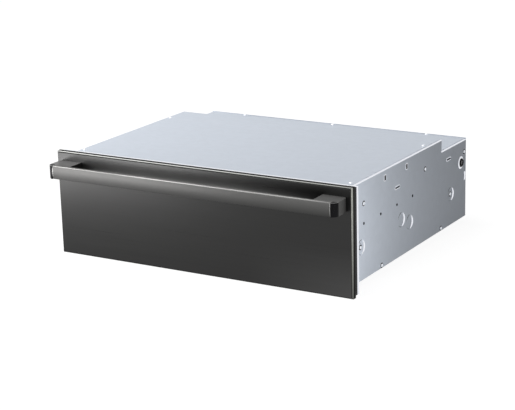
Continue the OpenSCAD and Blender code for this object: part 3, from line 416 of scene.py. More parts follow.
GREY_PLASTIC = plastic("grey_plastic", (0.16, 0.16, 0.165), 0.5)
MARK_PLASTIC = plastic("mark_plastic", (0.72, 0.72, 0.70), 0.4)
WHITE_PLASTIC = plastic("white_plastic", (0.78, 0.76, 0.70), 0.42)
SILICONE = silicone()
BOARD = circuit_board()
GLASS = display_glass()

KEYS = ["power_key", "warmer_key", "cooler_key", "timer_key"]


def both(*names):
    return [name + side for name in names for side in ("_left", "_right")]


NODES_OF = {
    ZINC: ["base_pan", "top_cover", "rear_shelf_cover", "back_panel", "liner_brackets", "rear_bulkhead"]
    + both("side_panel"),
    BRIGHT: ["slide_screws", "side_screws", "top_screws", "rear_screws", "handle_screws", "pan_screws"],
    ENAMEL: ["mounting_flange", "backing_frame", "slide_standoffs"],
    FRONT: ["front_skin"],
    HANDLE: ["handle_bar"],
    POST: both("handle_post"),
    CAP_DARK_REFLECTION: both("handle_cap"),
    LINER_STEEL: ["cavity_liner"],
    PAN_STEEL: ["drawer_pan", "temperature_probe", "element_clips"] + both("rail"),
    SHEATH: ["heating_element"],
    SLIDE_STEEL: ["vent_slide"] + both("slide_outer", "slide_middle", "slide_inner"),
    BALL_STEEL: both("ball_cage_outer", "ball_cage_inner"),
    WOOL: ["insulation_" + place for place in ("top", "bottom", "sides", "rear")] + ["front_insulation"],
    BLACK_PLASTIC: ["high_limit_thermostat", "control_fascia"],
    BUSHING_PLASTIC: ["cord_bushing"],
    GREY_PLASTIC: KEYS,
    WHITE_PLASTIC: ["board_standoffs", "terminal_block"],
    BOARD: ["power_board", "control_board"],
    GLASS: ["display_window"],
    SILICONE: ["drawer_gasket"],
}
ROUNDED_EDGES = [
    (0.2 * MM, ["vent_slide"]),
    (0.5 * MM, ["front_skin"] + KEYS),
    (0.8 * MM, ["handle_bar"] + both("handle_cap")),
    (0.9 * MM, both("handle_post")),
]
WELD_D = 0.01 * MM
FLAT_ANGLE = radians(0.5)
EDGE_ANGLE = radians(32)


def dress_solids():
    """Gives the solids their materials, and rounds the edges that are seen from near."""
    for material, names in NODES_OF.items():
        for name in names:
            mesh = NODES[name].data
            mesh.materials.clear()
            mesh.materials.append(material)
    for width, names in ROUNDED_EDGES:
        for name in names:
            round_edges(NODES[name], width)


def round_edges(solid, width):
    """Bevels a solid's edges, after joining the triangles of its flat faces."""
    weld = solid.modifiers.new("weld", "WELD")
    weld.merge_threshold = WELD_D
    flats = solid.modifiers.new("flats", "DECIMATE")
    flats.decimate_type = "DISSOLVE"
    flats.angle_limit = FLAT_ANGLE
    edges = solid.modifiers.new("edges", "BEVEL")
    edges.width = width
    edges.segments = 3
    edges.limit_method = "ANGLE"
    edges.angle_limit = EDGE_ANGLE
    edges.harden_normals = True


# Mesh helpers

MERGE_D = 0.001 * MM
SAME_PLACE = 0.002 * MM


def add_object(name, builder, material):
    """Makes an object from a bmesh."""
    mesh = bpy.data.meshes.new(name)
    builder.to_mesh(mesh)
    builder.free()
    mesh.materials.append(material)
    made = bpy.data.objects.new(name, mesh)
    bpy.context.scene.collection.objects.link(made)
    return made


def add_piece(name, builder, material, body="chassis", smooth=True, angle=40):
    """Makes a piece and lets it ride on a body."""
    bmesh.ops.recalc_face_normals(builder, faces=builder.faces)
    piece = add_object(name, builder, material)
    if smooth:
        for face in piece.data.polygons:
            face.use_smooth = True
        piece.data.set_sharp_from_angle(angle=radians(angle))
    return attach(piece, body)


def replace_node(node, builder, material, body="chassis", angle=40):
    """Lets a more detailed piece stand for a node."""
    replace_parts(add_piece(node + "_detailed", builder, material, body, angle=angle), node)


def islands(node):
    """The boxes of a node's separate solids, as (lowest corner, highest corner)."""
    mesh = NODES[node].data
    places = [tuple(round(c / SAME_PLACE) for c in vertex.co) for vertex in mesh.vertices]
    parent = {place: place for place in places}

    def root(place):
        while parent[place] != place:
            parent[place] = parent[parent[place]]
            place = parent[place]
        return place

    for edge in mesh.edges:
        first, second = (root(places[index]) for index in edge.vertices)
        parent[second] = first
    boxes = {}
    for vertex, place in zip(mesh.vertices, places):
        low, high = boxes.setdefault(root(place), (vertex.co.copy(), vertex.co.copy()))
        for axis in range(3):
            low[axis] = min(low[axis], vertex.co[axis])
            high[axis] = max(high[axis], vertex.co[axis])
    return sorted(boxes.values(), key=lambda pair: tuple(pair[0]))


def loop_faces(builder, rings, closed_ends=False, closed=True):
    """Joins rings of points, each with the same count, with quads."""
    made = [[builder.verts.new(point) for point in ring] for ring in rings]
    for first, second in zip(made, made[1:]):
        count = len(first)
        for i in range(count if closed else count - 1):
            j = (i + 1) % count
            builder.faces.new((first[i], first[j], second[j], second[i]))
    if closed_ends:
        builder.faces.new(made[0])
        builder.faces.new(list(reversed(made[-1])))
    return made


def endless_faces(builder, rings):
    """Joins rings of points into a tube whose last ring meets the first."""
    loop_faces(builder, rings + [rings[0]])
    bmesh.ops.remove_doubles(builder, verts=builder.verts, dist=MERGE_D)


def circle_outline(radius, steps=28):
    angles = [2 * pi * i / steps for i in range(steps)]
    return [(radius * cos(angle), radius * sin(angle)) for angle in angles]


def quarter_turn(steps):
    return [pi / 2 * i / steps for i in range(steps + 1)]


def shares(steps):
    """Evenly spaced values from 0 to 1."""
    return [i / steps for i in range(steps + 1)]


def rounded_outline(width, height, radius, steps=6):
    """Points round a rectangle with rounded corners, centred on the origin."""
    points = []
    for corner, (sx, sy) in enumerate([(1, 1), (-1, 1), (-1, -1), (1, -1)]):
        x, y = sx * (width / 2 - radius), sy * (height / 2 - radius)
        for angle in quarter_turn(steps):
            angle += pi / 2 * corner
            points.append((x + radius * cos(angle), y + radius * sin(angle)))
    return points


def bar_outline(width, height):
    w, h = width / 2, height / 2
    return [(w, h), (-w, h), (-w, -h), (w, -h)]


def axis_frame(place, direction):
    """A frame at a place whose Z axis points along a direction."""
    turn = Vector(direction).to_track_quat("Z", "Y").to_matrix().to_4x4()
    return Matrix.Translation(Vector(place)) @ turn


def lathe(builder, profile, frame_of_axis, segments, closed_ends=True):
    """Turns (radius, height) points about the local Z axis."""
    rings = [
        [frame_of_axis @ Vector((u, v, height)) for u, v in circle_outline(radius, segments)]
        for radius, height in profile
    ]
    loop_faces(builder, rings, closed_ends)


def swept(outline, to_space, section):
    """Rings that carry a section of (outward, rise) points round an anticlockwise outline."""
    count = len(outline)
    normals = []
    for i in range(count):
        before, after = outline[i - 1], outline[(i + 1) % count]
        dx, dy = after[0] - before[0], after[1] - before[1]
        length = hypot(dx, dy) or 1
        normals.append((dy / length, -dx / length))
    return [
        [to_space(u + nu * out, v + nv * out, rise) for (u, v), (nu, nv) in zip(outline, normals)]
        for out, rise in section
    ]


def bead_section(width, height, steps=5):
    """A half-round bead, as (outward, rise) points. Its feet sink a little into the surface."""
    foot = (-0.05 * MM,)
    rises = [height * sin(pi * step / steps) ** 0.8 for step in range(1, steps)]
    return [(width * step / steps, rise) for step, rise in enumerate([*foot, *rises, *foot])]


def crescent(builder, to_space, middle, sweep, inner, outer, steps=24):
    """A strip along part of a circle, pointed at both ends. The angles middle and sweep are in degrees,
    and inner and outer are (radius, rise)."""
    (inner_r, inner_rise), (outer_r, outer_rise) = inner, outer
    width = outer_r - inner_r
    rings = []
    for along_arc in shares(steps):
        angle = radians(middle + sweep * (along_arc - 0.5))
        swell = max(0.02, sin(pi * along_arc) ** 0.7)
        ring = []
        for share in shares(4):
            radius = (inner_r + outer_r) / 2 + width * swell * (share - 0.5)
            rise = inner_rise + (outer_rise - inner_rise) * (radius - inner_r) / width
            rise += 0.15 * width * swell * sin(pi * share)
            ring.append(to_space(radius * cos(angle), radius * sin(angle), rise))
        rings.append(ring)
    loop_faces(builder, rings, closed=False)


# Screws

PAN_HEAD_R, PAN_HEAD_H = 4.0 * MM, 2.2 * MM
FLAT_HEAD_R, FLAT_HEAD_H = 3.5 * MM, 1.1 * MM
SCREW_R = 1.9 * MM
RIDGE_GAP = 1 * MM
WASHER_R = 5.8 * MM
SHORTEST_SCREW = 4 * MM


def recess_depth(x, y, half_length, half_width, depth):
    """Depth of a cross recess at a point of the head."""
    reach = max(abs(x), abs(y))
    across = min(abs(x), abs(y))
    if reach > half_length or across > half_width:
        return 0.0
    return depth * min(1.0, 1.6 * (1 - reach / half_length) + 0.35)


def add_screw(builder, place, direction, head_r, head_h, shank_l, flat=False):
    """A screw with a domed or flat head, a cross recess and a ridged shank."""
    frame_of_axis = axis_frame(place, direction)
    proud, sunk = (0, head_h) if flat else (head_h, 0)
    recess = (0.55 * head_r, 0.15 * head_r, 0.5 * head_h)
    rings = []
    for share in shares(12)[1:]:
        dome = proud * max(0.0, 1 - share ** 3.2) ** 0.55
        rings.append([
            frame_of_axis @ Vector((x, y, dome - recess_depth(x, y, *recess)))
            for x, y in circle_outline(head_r * share, 40)
        ])
    inner = loop_faces(builder, rings)[0]
    centre = builder.verts.new(frame_of_axis @ Vector((0, 0, proud - 0.5 * head_h)))
    for first, second in zip(inner, inner[1:] + inner[:1]):
        builder.faces.new((centre, first, second))
    profile = [(head_r, 0), (SCREW_R * 1.05, -max(sunk, 0.02 * MM))]
    turns = max(2, round(shank_l / RIDGE_GAP))
    for turn in range(turns):
        depth = -sunk - shank_l * (turn + 0.5) / turns
        profile.append((SCREW_R * 0.82, depth))
        profile.append((SCREW_R, depth - shank_l * 0.25 / turns))
    profile.append((SCREW_R * 0.3, -shank_l))
    lathe(builder, profile, frame_of_axis, 20)


def screw_seats(node, axis):
    """The places and directions of a node's screw heads. Screws along X have their heads outside, and
    the others theirs at the high end of their axis."""
    seats = []
    for low, high in islands(node):
        if (high - low).length < SHORTEST_SCREW:
            continue
        place = (low + high) / 2
        sign = -1 if axis == 0 and place.x < 0 else 1
        direction = Vector((0, 0, 0))
        direction[axis] = sign
        place[axis] = high[axis] if sign > 0 else low[axis]
        seats.append((place - direction * PAN_HEAD_H, direction))
    return seats


def add_pan_head_screws():
    for node, body, axis, shank in [
        ("side_screws", "chassis", 0, 8 * MM),
        ("top_screws", "chassis", 2, 8 * MM),
        ("rear_screws", "chassis", 1, 8 * MM),
        ("pan_screws", "drawer", 1, 3 * MM),
        ("handle_screws", "drawer", 1, 16 * MM),
    ]:
        builder = bmesh.new()
        for place, direction in screw_seats(node, axis):
            add_screw(builder, place, direction, PAN_HEAD_R, PAN_HEAD_H, shank)
        replace_node(node, builder, BRIGHT, body)


def add_slide_screws():
    builder = bmesh.new()
    for low, high in islands("slide_screws"):
        side = 1 if low.x > 0 else -1
        place = (low + high) / 2
        place.x = low.x if side > 0 else high.x
        add_screw(builder, place, (-side, 0, 0), FLAT_HEAD_R, FLAT_HEAD_H, 11 * MM, flat=True)
    replace_node("slide_screws", builder, BRIGHT)


def add_shade_washers():
    """Dark toothed washers under the side screws, as painted shade under the heads."""
    builder = bmesh.new()
    tooth = 0.07
    teeth = [
        (u * (1 + tooth * (i % 2)), v * (1 + tooth * (i % 2)))
        for i, (u, v) in enumerate(circle_outline(WASHER_R, 36))
    ]
    for place, direction in screw_seats("side_screws", 0):
        seat = axis_frame(place, direction)
        loop_faces(builder, [
            [seat @ Vector((u * share, v * share, rise * MM)) for u, v in teeth]
            for share, rise in [(1, -0.05), (1, 0.35), (0.6, 0.45)]
        ])
    add_piece("screw_shade_washers", builder, ENAMEL)


# Measures of the chassis, and of the openings and pressings of its side panels.
# Slots and pressings lie at shares of the panel's depth and height.

SHEET_T = 1 * MM
FACE_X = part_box("top_cover")[1].x
CHASSIS_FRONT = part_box("mounting_flange")[0].y + 1.5 * MM
CHASSIS_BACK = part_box("back_panel")[1].y
CHASSIS_DEPTH = CHASSIS_BACK - CHASSIS_FRONT
CHASSIS_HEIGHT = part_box("top_cover")[1].z
STEP_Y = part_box("rear_shelf_cover")[0].y
SHELF_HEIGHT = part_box("rear_shelf_cover")[1].z
UPRIGHT_SLOTS = [(0.2885, 0.9045), (0.4656, 0.9045)]
LANCED_SLOTS = [(0.3885, 0.741), (0.8361, 0.741)]
UPRIGHT_SLOT = (6 * MM, 10 * MM)
LANCED_SLOT = (21 * MM, 3 * MM)
SLOT_CORNER = 0.7 * MM
SLOT_RIM_W, SLOT_RIM_H = 2.6 * MM, 0.35 * MM
PRESSINGS = [(0.4213, 0.3773), (0.4902, 0.3027), (0.1, 0.3364), (0.8574, 0.3409)]
PRESSING_R = 17.5 * MM
ACCESS_HOLES = [(74 + 80 * i) * MM for i in range(4)]
ACCESS_HOLE_R = 2.5 * MM
ACCESS_HOLE_Z = sum(corner.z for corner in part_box("slide_outer_right")) / 2
LINER_T, LINER_L = 0.15 * MM, 1.2 * MM
LIP_W, LIP_H = 0.8 * MM, 0.3 * MM
REAR_SLOT = (CHASSIS_BACK - 7.5 * MM, 0.459 * CHASSIS_HEIGHT)
STRAP_W, STRAP_L, STRAP_T = 7.5 * MM, 21 * MM, 0.6 * MM


def side_space(side, y, z):
    """Takes outline points round (y, z) on a side panel to space."""
    return lambda u, v, rise: Vector((side * (FACE_X + rise), y + u, z + v))


def share_space(side, share):
    """The same, round a place given as shares of the panel's depth and height."""
    return side_space(side, CHASSIS_FRONT + share[0] * CHASSIS_DEPTH, share[1] * CHASSIS_HEIGHT)


def slots(side):
    """The slots of a side panel, each as its way to space and its outline."""
    return [
        (share_space(side, share), rounded_outline(*size, SLOT_CORNER))
        for places, size in [(UPRIGHT_SLOTS, UPRIGHT_SLOT), (LANCED_SLOTS, LANCED_SLOT)]
        for share in places
    ]


# Pieces on the side panels

def add_side_highlights(name, side):
    """Rolled rims of the slots, the rear walls of the pressings and the strap over the rear slot, all given
    a painted highlight.
    """
    builder = bmesh.new()
    for to_space, outline in slots(side):
        loop_faces(builder, swept(outline, to_space, bead_section(SLOT_RIM_W, SLOT_RIM_H)))
    for share in PRESSINGS:
        inner, outer = (0.77 * PRESSING_R, -1.7 * MM), (1.03 * PRESSING_R, 0.1 * MM)
        crescent(builder, share_space(side, share), -12, 140, inner, outer)
    to_space = side_space(side, *REAR_SLOT)
    rings = []
    for share in shares(12):
        rise = 0.7 * MM * sin(pi * share) ** 0.5 - 0.4 * MM
        rings.append([
            to_space(across * STRAP_W / 2, (share - 0.5) * STRAP_L, rise + thick)
            for across, thick in [(-1, 0), (1, 0), (1, STRAP_T), (-1, STRAP_T)]
        ])
    loop_faces(builder, rings, closed_ends=True)
    add_piece("side_highlights_" + name, builder, BEND_HIGHLIGHT)


def add_shade_liners(name, side):
    """Black liners in the slots and access holes, each with a narrow lip on the face, put there as painted
    shade so the openings read dark.
    """
    holes = [
        (side_space(side, CHASSIS_FRONT + y, ACCESS_HOLE_Z), circle_outline(ACCESS_HOLE_R))
        for y in ACCESS_HOLES
    ]
    section = [(-LINER_T, -LINER_L), (-LINER_T, 0.5 * LIP_H), (0, LIP_H)]
    section += [(LIP_W, LIP_H), (LIP_W, 0), (0, -LINER_L)]
    builder = bmesh.new()
    for to_space, outline in slots(side) + holes:
        endless_faces(builder, swept(outline, to_space, section))
    add_piece("opening_shade_liners_" + name, builder, BUSHING_PLASTIC)


def add_pressing_shades(name, side):
    """Painted shade: dark strips on the upper front walls of the pressings."""
    builder = bmesh.new()
    for share in PRESSINGS:
        inner, outer = (0.92 * PRESSING_R, 0), (1.02 * PRESSING_R, 0.1 * MM)
        crescent(builder, share_space(side, share), 125, 85, inner, outer)
    add_piece("pressing_shades_" + name, builder, ENAMEL)


# Painted highlights along the bends of the upper edges of the side panels, and the flange's folded edges

BEND_R = 2.5 * MM
BEND_PROUD = 0.2 * MM
RETURN_D = 2.2 * MM
HEM_D = 8 * MM
HEM_PROUD = 0.3 * MM


def add_top_bend_highlights():
    outer_r = BEND_R + BEND_PROUD
    tail, drop = -0.6 * MM, -0.3 * MM
    section = [(tail, outer_r)]
    section += [(outer_r * sin(a), outer_r * cos(a)) for a in quarter_turn(8)]
    section += [(outer_r, drop), (BEND_R, drop), (BEND_R, 0), (0, BEND_R), (tail, BEND_R)]
    builder = bmesh.new()
    for side in (-1, 1):
        for front, rear, height in [
            (CHASSIS_FRONT + 0.5 * MM, STEP_Y, CHASSIS_HEIGHT),
            (STEP_Y, CHASSIS_BACK - 1 * MM, SHELF_HEIGHT),
        ]:
            middle_z = height - SHEET_T - BEND_R
            loop_faces(builder, [
                [Vector((side * (FACE_X - BEND_R + u), y, middle_z + v)) for u, v in section]
                for y in (front, rear)
            ], closed_ends=True)
    add_piece("top_bend_highlights", builder, BEND_HIGHLIGHT)


def add_flange_return():
    """The flange's edges, folded back, with a hem at the rear that carries a painted highlight. Sections are
    (inset, y) points.
    """
    low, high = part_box("mounting_flange")
    front, back, end = CHASSIS_FRONT, CHASSIS_FRONT + RETURN_D, CHASSIS_FRONT + RETURN_D + HEM_D
    fold = [(0, front), (0, back), (SHEET_T, back), (SHEET_T, front)]
    hem = [(-HEM_PROUD, back), (-HEM_PROUD, end - HEM_PROUD), (0, end), (SHEET_T, end), (SHEET_T, back)]
    for name, material, section in [("flange_return", ENAMEL, fold), ("flange_hem_highlight", BEND_HIGHLIGHT, hem)]:
        builder = bmesh.new()
        rings = []
        for inset, y in section:
            left, right, bottom, top = low.x + inset, high.x - inset, low.z + inset, high.z - inset
            corners = [(left, bottom), (right, bottom), (right, top), (left, top)]
            rings.append([Vector((x, y, z)) for x, z in corners])
        endless_faces(builder, rings)
        add_piece(name, builder, material)


# Strips with painted highlights along the edges of the handle

BAR_CROWN = 2.5 * MM
EDGE_PROUD = 0.12 * MM
EDGE_W = 1.8 * MM
END_EDGE_W, END_EDGE_T = 0.85 * MM, 0.17 * MM
CAP_EDGE_R = 0.6 * MM


def bar_face(z):
    """Where the crowned face of the handle bar stands at a height, along Y."""
    low, high = BAR_BOX
    half = (high.z - low.z) / 2
    crown_r = (half ** 2 + BAR_CROWN ** 2) / (2 * BAR_CROWN)
    return low.y + crown_r - sqrt(crown_r ** 2 - (z - low.z - half) ** 2)


def bar_top_rings():
    """A strip along the bar's upper edge."""
    low, high = BAR_BOX
    edge_y, top = bar_face(high.z), high.z + EDGE_PROUD
    drops = (EDGE_W, 0.6 * EDGE_W, 0.3 * EDGE_W)
    section = [(bar_face(high.z - drop) - EDGE_PROUD, high.z - drop) for drop in drops]
    section += [(edge_y, high.z), (edge_y + 0.4 * EDGE_W, top), (edge_y + EDGE_W, top)]
    section += [(edge_y + EDGE_W, top - 0.3 * EDGE_W), (edge_y + 0.5 * EDGE_W, high.z - EDGE_W)]
    ends = (low.x + 0.5 * MM, high.x - 0.5 * MM)
    return [[Vector((x, y, z)) for y, z in section] for x in ends]


def bar_end_rings(x):
    """A strip down an end of the bar."""
    low, high = BAR_BOX
    rings = []
    for share in shares(12):
        z = low.z + 1 * MM + (high.z - low.z - 2 * MM) * share
        y = bar_face(z) + 0.7 * END_EDGE_T
        rings.append([
            Vector((x + u * END_EDGE_W, y + v * END_EDGE_T, z)) for u, v in circle_outline(1, 12)
        ])
    return rings


def cap_rings(side):
    """A strip round a corner piece."""
    low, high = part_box("handle_cap_right")
    path_r = high.x - low.x - 0.5 * MM
    rings = []
    for angle in quarter_turn(24):
        out = Vector((side * sin(angle), -cos(angle), 0))
        centre = Vector((side * low.x, high.y, BAR_BOX[1].z - 0.45 * MM)) + path_r * out
        rings.append([centre + u * out + Vector((0, 0, v)) for u, v in circle_outline(CAP_EDGE_R, 8)])
    return rings


# Thin strips laid on the handle's edges that carry the painted highlight
def add_handle_edge_highlights():
    strips = [bar_top_rings()]
    strips += [bar_end_rings(x) for x in (BAR_BOX[0].x + END_EDGE_W, BAR_BOX[1].x - END_EDGE_W)]
    strips += [cap_rings(side) for side in (-1, 1)]
    builder = bmesh.new()
    for rings in strips:
        loop_faces(builder, rings, closed_ends=True)
    add_piece("handle_edge_highlights", builder, EDGE_HIGHLIGHT, "drawer")


# Cord bushing and the collar it sits in

BUSHING_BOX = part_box("cord_bushing")
BUSHING_CENTRE = (BUSHING_BOX[0] + BUSHING_BOX[1]) / 2
BUSHING_R = (BUSHING_BOX[1].z - BUSHING_BOX[0].z) / 2
BUSHING_PROUD = BUSHING_BOX[1].x - FACE_X
BUSHING_AXIS = axis_frame((FACE_X, BUSHING_CENTRE.y, BUSHING_CENTRE.z), (1, 0, 0))
BORE_R = 5 * MM
CORE_R = 10.4 * MM
PETAL_GAP = 0.06  # radians


def add_bushing_body():
    proud, inside = BUSHING_PROUD, FACE_X - BUSHING_BOX[0].x
    neck, groove = BUSHING_R - 1.5 * MM, BUSHING_R - 3 * MM
    profile = [(BORE_R, -inside), (neck, -inside), (neck, -1.2 * MM), (groove, -1.1 * MM), (groove, 0)]
    profile += [(BUSHING_R, 0.02 * MM), (BUSHING_R, 0.1 * proud), (CORE_R, 0.25 * proud)]
    lip = [
        (CORE_R - 0.5 * proud * (1 - cos(a)), proud * (0.3 + 0.55 * sin(a)))
        for a in quarter_turn(6)
    ]
    funnel = [
        (BORE_R + 0.5 * proud * (1 - sin(a)), proud * (0.85 + 0.15 * cos(a) - 0.35 * sin(a)))
        for a in quarter_turn(6)
    ]
    builder = bmesh.new()
    lathe(builder, profile + lip + funnel + [profile[0]], BUSHING_AXIS, 56, closed_ends=False)
    bmesh.ops.remove_doubles(builder, verts=builder.verts, dist=MERGE_D)
    replace_node("cord_bushing", builder, BUSHING_PLASTIC)


# The petals in the bore are grey where the bushing is black: painted highlights
def add_bushing_petals():
    builder = bmesh.new()
    for petal in range(4):
        start = petal * pi / 2 + PETAL_GAP
        stop = (petal + 1) * pi / 2 - PETAL_GAP
        middle = (start + stop) / 2
        arc = [start + (stop - start) * share for share in shares(6)]
        front = [(0.35 * MM * cos(middle), 0.35 * MM * sin(middle))]
        front += [(0.98 * BORE_R * cos(a), 0.98 * BORE_R * sin(a)) for a in arc]
        loop_faces(builder, [
            [BUSHING_AXIS @ Vector((u, v, depth)) for u, v in front]
            for depth in (0.2 * BUSHING_PROUD, 0.5 * BUSHING_PROUD)
        ], closed_ends=True)
    add_piece("cord_bushing_petals", builder, PETAL_HIGHLIGHT_PLASTIC)


def add_bushing_collar():
    """The collar round the core, with a painted highlight on the side that faces the front."""
    slope = [(BUSHING_R + 0.4 * MM, 0), (BUSHING_R, 0.4 * MM)]
    slope += [(CORE_R + 0.6 * MM, 1.4 * MM), (CORE_R, 1.2 * MM)]
    builder = bmesh.new()
    lathe(builder, slope, BUSHING_AXIS, 56, closed_ends=False)
    add_piece("cord_bushing_collar", builder, BRIGHT)
    inner, outer = (CORE_R + 0.7 * MM, 1.5 * MM), (BUSHING_R + 0.9 * MM, 0.2 * MM)
    builder = bmesh.new()
    crescent(builder, side_space(1, BUSHING_CENTRE.y, BUSHING_CENTRE.z), 180, 210, inner, outer)
    add_piece("cord_bushing_painted_highlight", builder, BEND_HIGHLIGHT)


# Louvre hoods on the back panel

HOOD_L, HOOD_H, HOOD_OUT = 38 * MM, 4.2 * MM, 1.9 * MM
HOOD_DROP = 1.6 * MM
HOOD_T = 0.3 * MM
HOOD_COLUMNS = [(60 + 42 * i) * MM for i in range(4)]
HOOD_ROWS = [(60 + 9 * i) * MM for i in range(6)]


def add_louvres():
    builder = bmesh.new()
    for x, z in [(side * x, z) for side in (-1, 1) for x in HOOD_COLUMNS for z in HOOD_ROWS]:
        rings = []
        for share in shares(14):
            swell = max(0.02, 1 - abs(2 * share - 1) ** 5)
            rings.append([
                Vector((
                    x + (share - 0.5) * HOOD_L,
                    CHASSIS_BACK + HOOD_OUT * swell * sin(a),
                    z - HOOD_DROP + HOOD_H * cos(a) * swell ** 0.4,
                ))
                for a in quarter_turn(6)
            ])
        loop_faces(builder, rings, closed=False)
    sheet = add_piece("louvre_hoods", builder, ZINC).modifiers.new("sheet", "SOLIDIFY")
    sheet.thickness = HOOD_T
    sheet.offset = -1


# Drawer pan with rounded bottom edges and a rolled rim

PAN_LOW, PAN_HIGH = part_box("drawer_pan")
PAN_CENTRE = (PAN_LOW + PAN_HIGH) / 2
PAN_W, PAN_D = 600 * MM, 438 * MM
PAN_T = 0.8 * MM
PAN_FILLET = 12 * MM
PAN_CORNER = 14 * MM
RIM_EDGE = 0.5 * MM
PAN_BEAD_W, PAN_BEAD_L, PAN_BEAD_H = 9 * MM, 300 * MM, 0.9 * MM
PAN_BEAD_GAP = 100 * MM


def pan_ring(width, depth, radius, z):
    outline = rounded_outline(width, depth, max(radius, RIM_EDGE), 8)
    return [Vector((PAN_CENTRE.x + u, PAN_CENTRE.y + v, z)) for u, v in outline]


def rim_ring(inset, drop):
    """A ring of the rim, at an inset from its edge."""
    width, depth, _ = PAN_HIGH - PAN_LOW
    return pan_ring(width - 2 * inset, depth - 2 * inset, PAN_CORNER, PAN_HIGH.z - drop)


def wall_ring(grow, z, corner_grow=None):
    """A ring that lies grow outside the walls."""
    corner = PAN_CORNER + (grow if corner_grow is None else corner_grow)
    return pan_ring(PAN_W + 2 * grow, PAN_D + 2 * grow, corner, z)


def wall_rings(inset, floor_z, radius, top_z):
    """Rings from the floor, round the bottom edge and up the wall."""
    rings = []
    for angle in quarter_turn(8):
        pull = radius * (1 - sin(angle))
        z = floor_z + radius * (1 - cos(angle))
        rings.append(wall_ring(-inset - pull, z, -inset - 0.6 * pull))
    return rings + [wall_ring(-inset, top_z)]


def add_pan():
    floor_z, top_z = PAN_LOW.z, PAN_HIGH.z
    inside = wall_rings(PAN_T, floor_z + PAN_T, PAN_FILLET - PAN_T, top_z - 2.4 * MM)
    bend = [(0.3, 1.3), (1.0, 0.45), (2.2, 0)]
    shoulder = [wall_ring(grow * MM - PAN_T, top_z - drop * MM) for grow, drop in bend]
    rim = [rim_ring(inset, drop) for inset, drop in [(RIM_EDGE, 0), (0, RIM_EDGE), (0, PAN_T)]]
    under_rim = [wall_ring(1.5 * MM, top_z - PAN_T), wall_ring(0.4 * MM, top_z - 1.6 * MM, 0)]
    outside = reversed(wall_rings(0, floor_z, PAN_FILLET, top_z - 3.2 * MM))
    builder = bmesh.new()
    loop_faces(builder, [*inside, *shoulder, *rim, *under_rim, *outside], closed_ends=True)
    replace_node("drawer_pan", builder, PAN_STEEL, "drawer", angle=50)


def add_pan_beads():
    """Shallow stiffening beads pressed up into the floor."""
    floor_z = PAN_LOW.z + PAN_T - 0.05 * MM
    outline = rounded_outline(PAN_BEAD_W, PAN_BEAD_L, 4.4 * MM, 8)
    builder = bmesh.new()
    for x in [PAN_CENTRE.x + i * PAN_BEAD_GAP for i in (-2, -1, 0, 1, 2)]:
        rings = []
        for share, rise in [(1.0, 0.0), (0.8, 0.55), (0.5, 0.9), (0.15, 1.0)]:
            pull, z = PAN_BEAD_W / 2 * (1 - share), floor_z + PAN_BEAD_H * rise
            rings.append([
                Vector((x + u * share, PAN_CENTRE.y + v - copysign(pull, v), z)) for u, v in outline
            ])
        builder.faces.new(loop_faces(builder, rings)[-1])
    add_piece("drawer_pan_beads", builder, PAN_STEEL, "drawer", angle=60)


# Gasket with a rounded top, in the groove of the backing frame

GASKET_W = 6 * MM


def add_gasket():
    low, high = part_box("drawer_gasket")
    centre_z = (low.z + high.z) / 2
    depth = high.y - low.y
    rise = [(-0.5, 0), (-0.5, 0.55), (-0.36, 0.86), (-0.14, 1.0)]
    section = [(GASKET_W * a, depth * b) for a, b in rise + [(-a, b) for a, b in reversed(rise)]]
    outline = rounded_outline(2 * high.x - GASKET_W, high.z - low.z - GASKET_W, GASKET_W * 0.75, 8)
    builder = bmesh.new()
    endless_faces(builder, swept(
        outline, lambda u, v, back: Vector((u, low.y + back, centre_z + v)), section
    ))
    replace_node("drawer_gasket", builder, SILICONE, "drawer", angle=60)


# Raised marks on the keys

MARK_RISE = 0.12 * MM


def add_key_mark(key, shapes):
    """Stands flat shapes on a key. Their points are in millimetres from its middle."""
    low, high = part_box(key)
    x, z = (low.x + high.x) / 2, (low.z + high.z) / 2
    builder = bmesh.new()
    for shape in shapes:
        loop_faces(builder, [
            [Vector((x + u * MM, y, z + v * MM)) for u, v in shape]
            for y in (low.y - MARK_RISE, low.y + MARK_RISE)
        ], closed_ends=True)
    add_piece(key + "_mark", builder, MARK_PLASTIC, key + "_body", smooth=False)


def ring_shapes(radius, thick, start=0, sweep=360, steps=28):
    """Short pieces of a ring, or of part of one. Angles are in degrees."""
    angles = [radians(start + sweep * i / steps) for i in range(steps + 1)]
    return [
        [(r * cos(angle), r * sin(angle)) for angle, r in (
            (a, radius), (b, radius), (b, radius - thick), (a, radius - thick)
        )]
        for a, b in zip(angles, angles[1:])
    ]


def bar_shape(width, height, x, z):
    return [(x + u, z + v) for u, v in bar_outline(width, height)]


def add_key_marks():
    add_key_mark("power_key", ring_shapes(2.4, 0.5, 125, 290) + [bar_shape(0.5, 2.4, 0, 1.6)])
    add_key_mark("warmer_key", [[(2.4, -1.2), (0, 2), (-2.4, -1.2)]])
    add_key_mark("cooler_key", [[(2.4, 1.2), (0, -2), (-2.4, 1.2)]])
    hands = [bar_shape(0.4, 1.6, 0, 0.7), bar_shape(1.3, 0.4, 0.55, 0)]
    add_key_mark("timer_key", ring_shapes(2.5, 0.45) + hands)


# Parts on the power board. Places and sizes are in millimetres, from the middle of the board's top.
# A block is its x and y, its size and the width of its chamfer. A can is its x, y, radius and height.

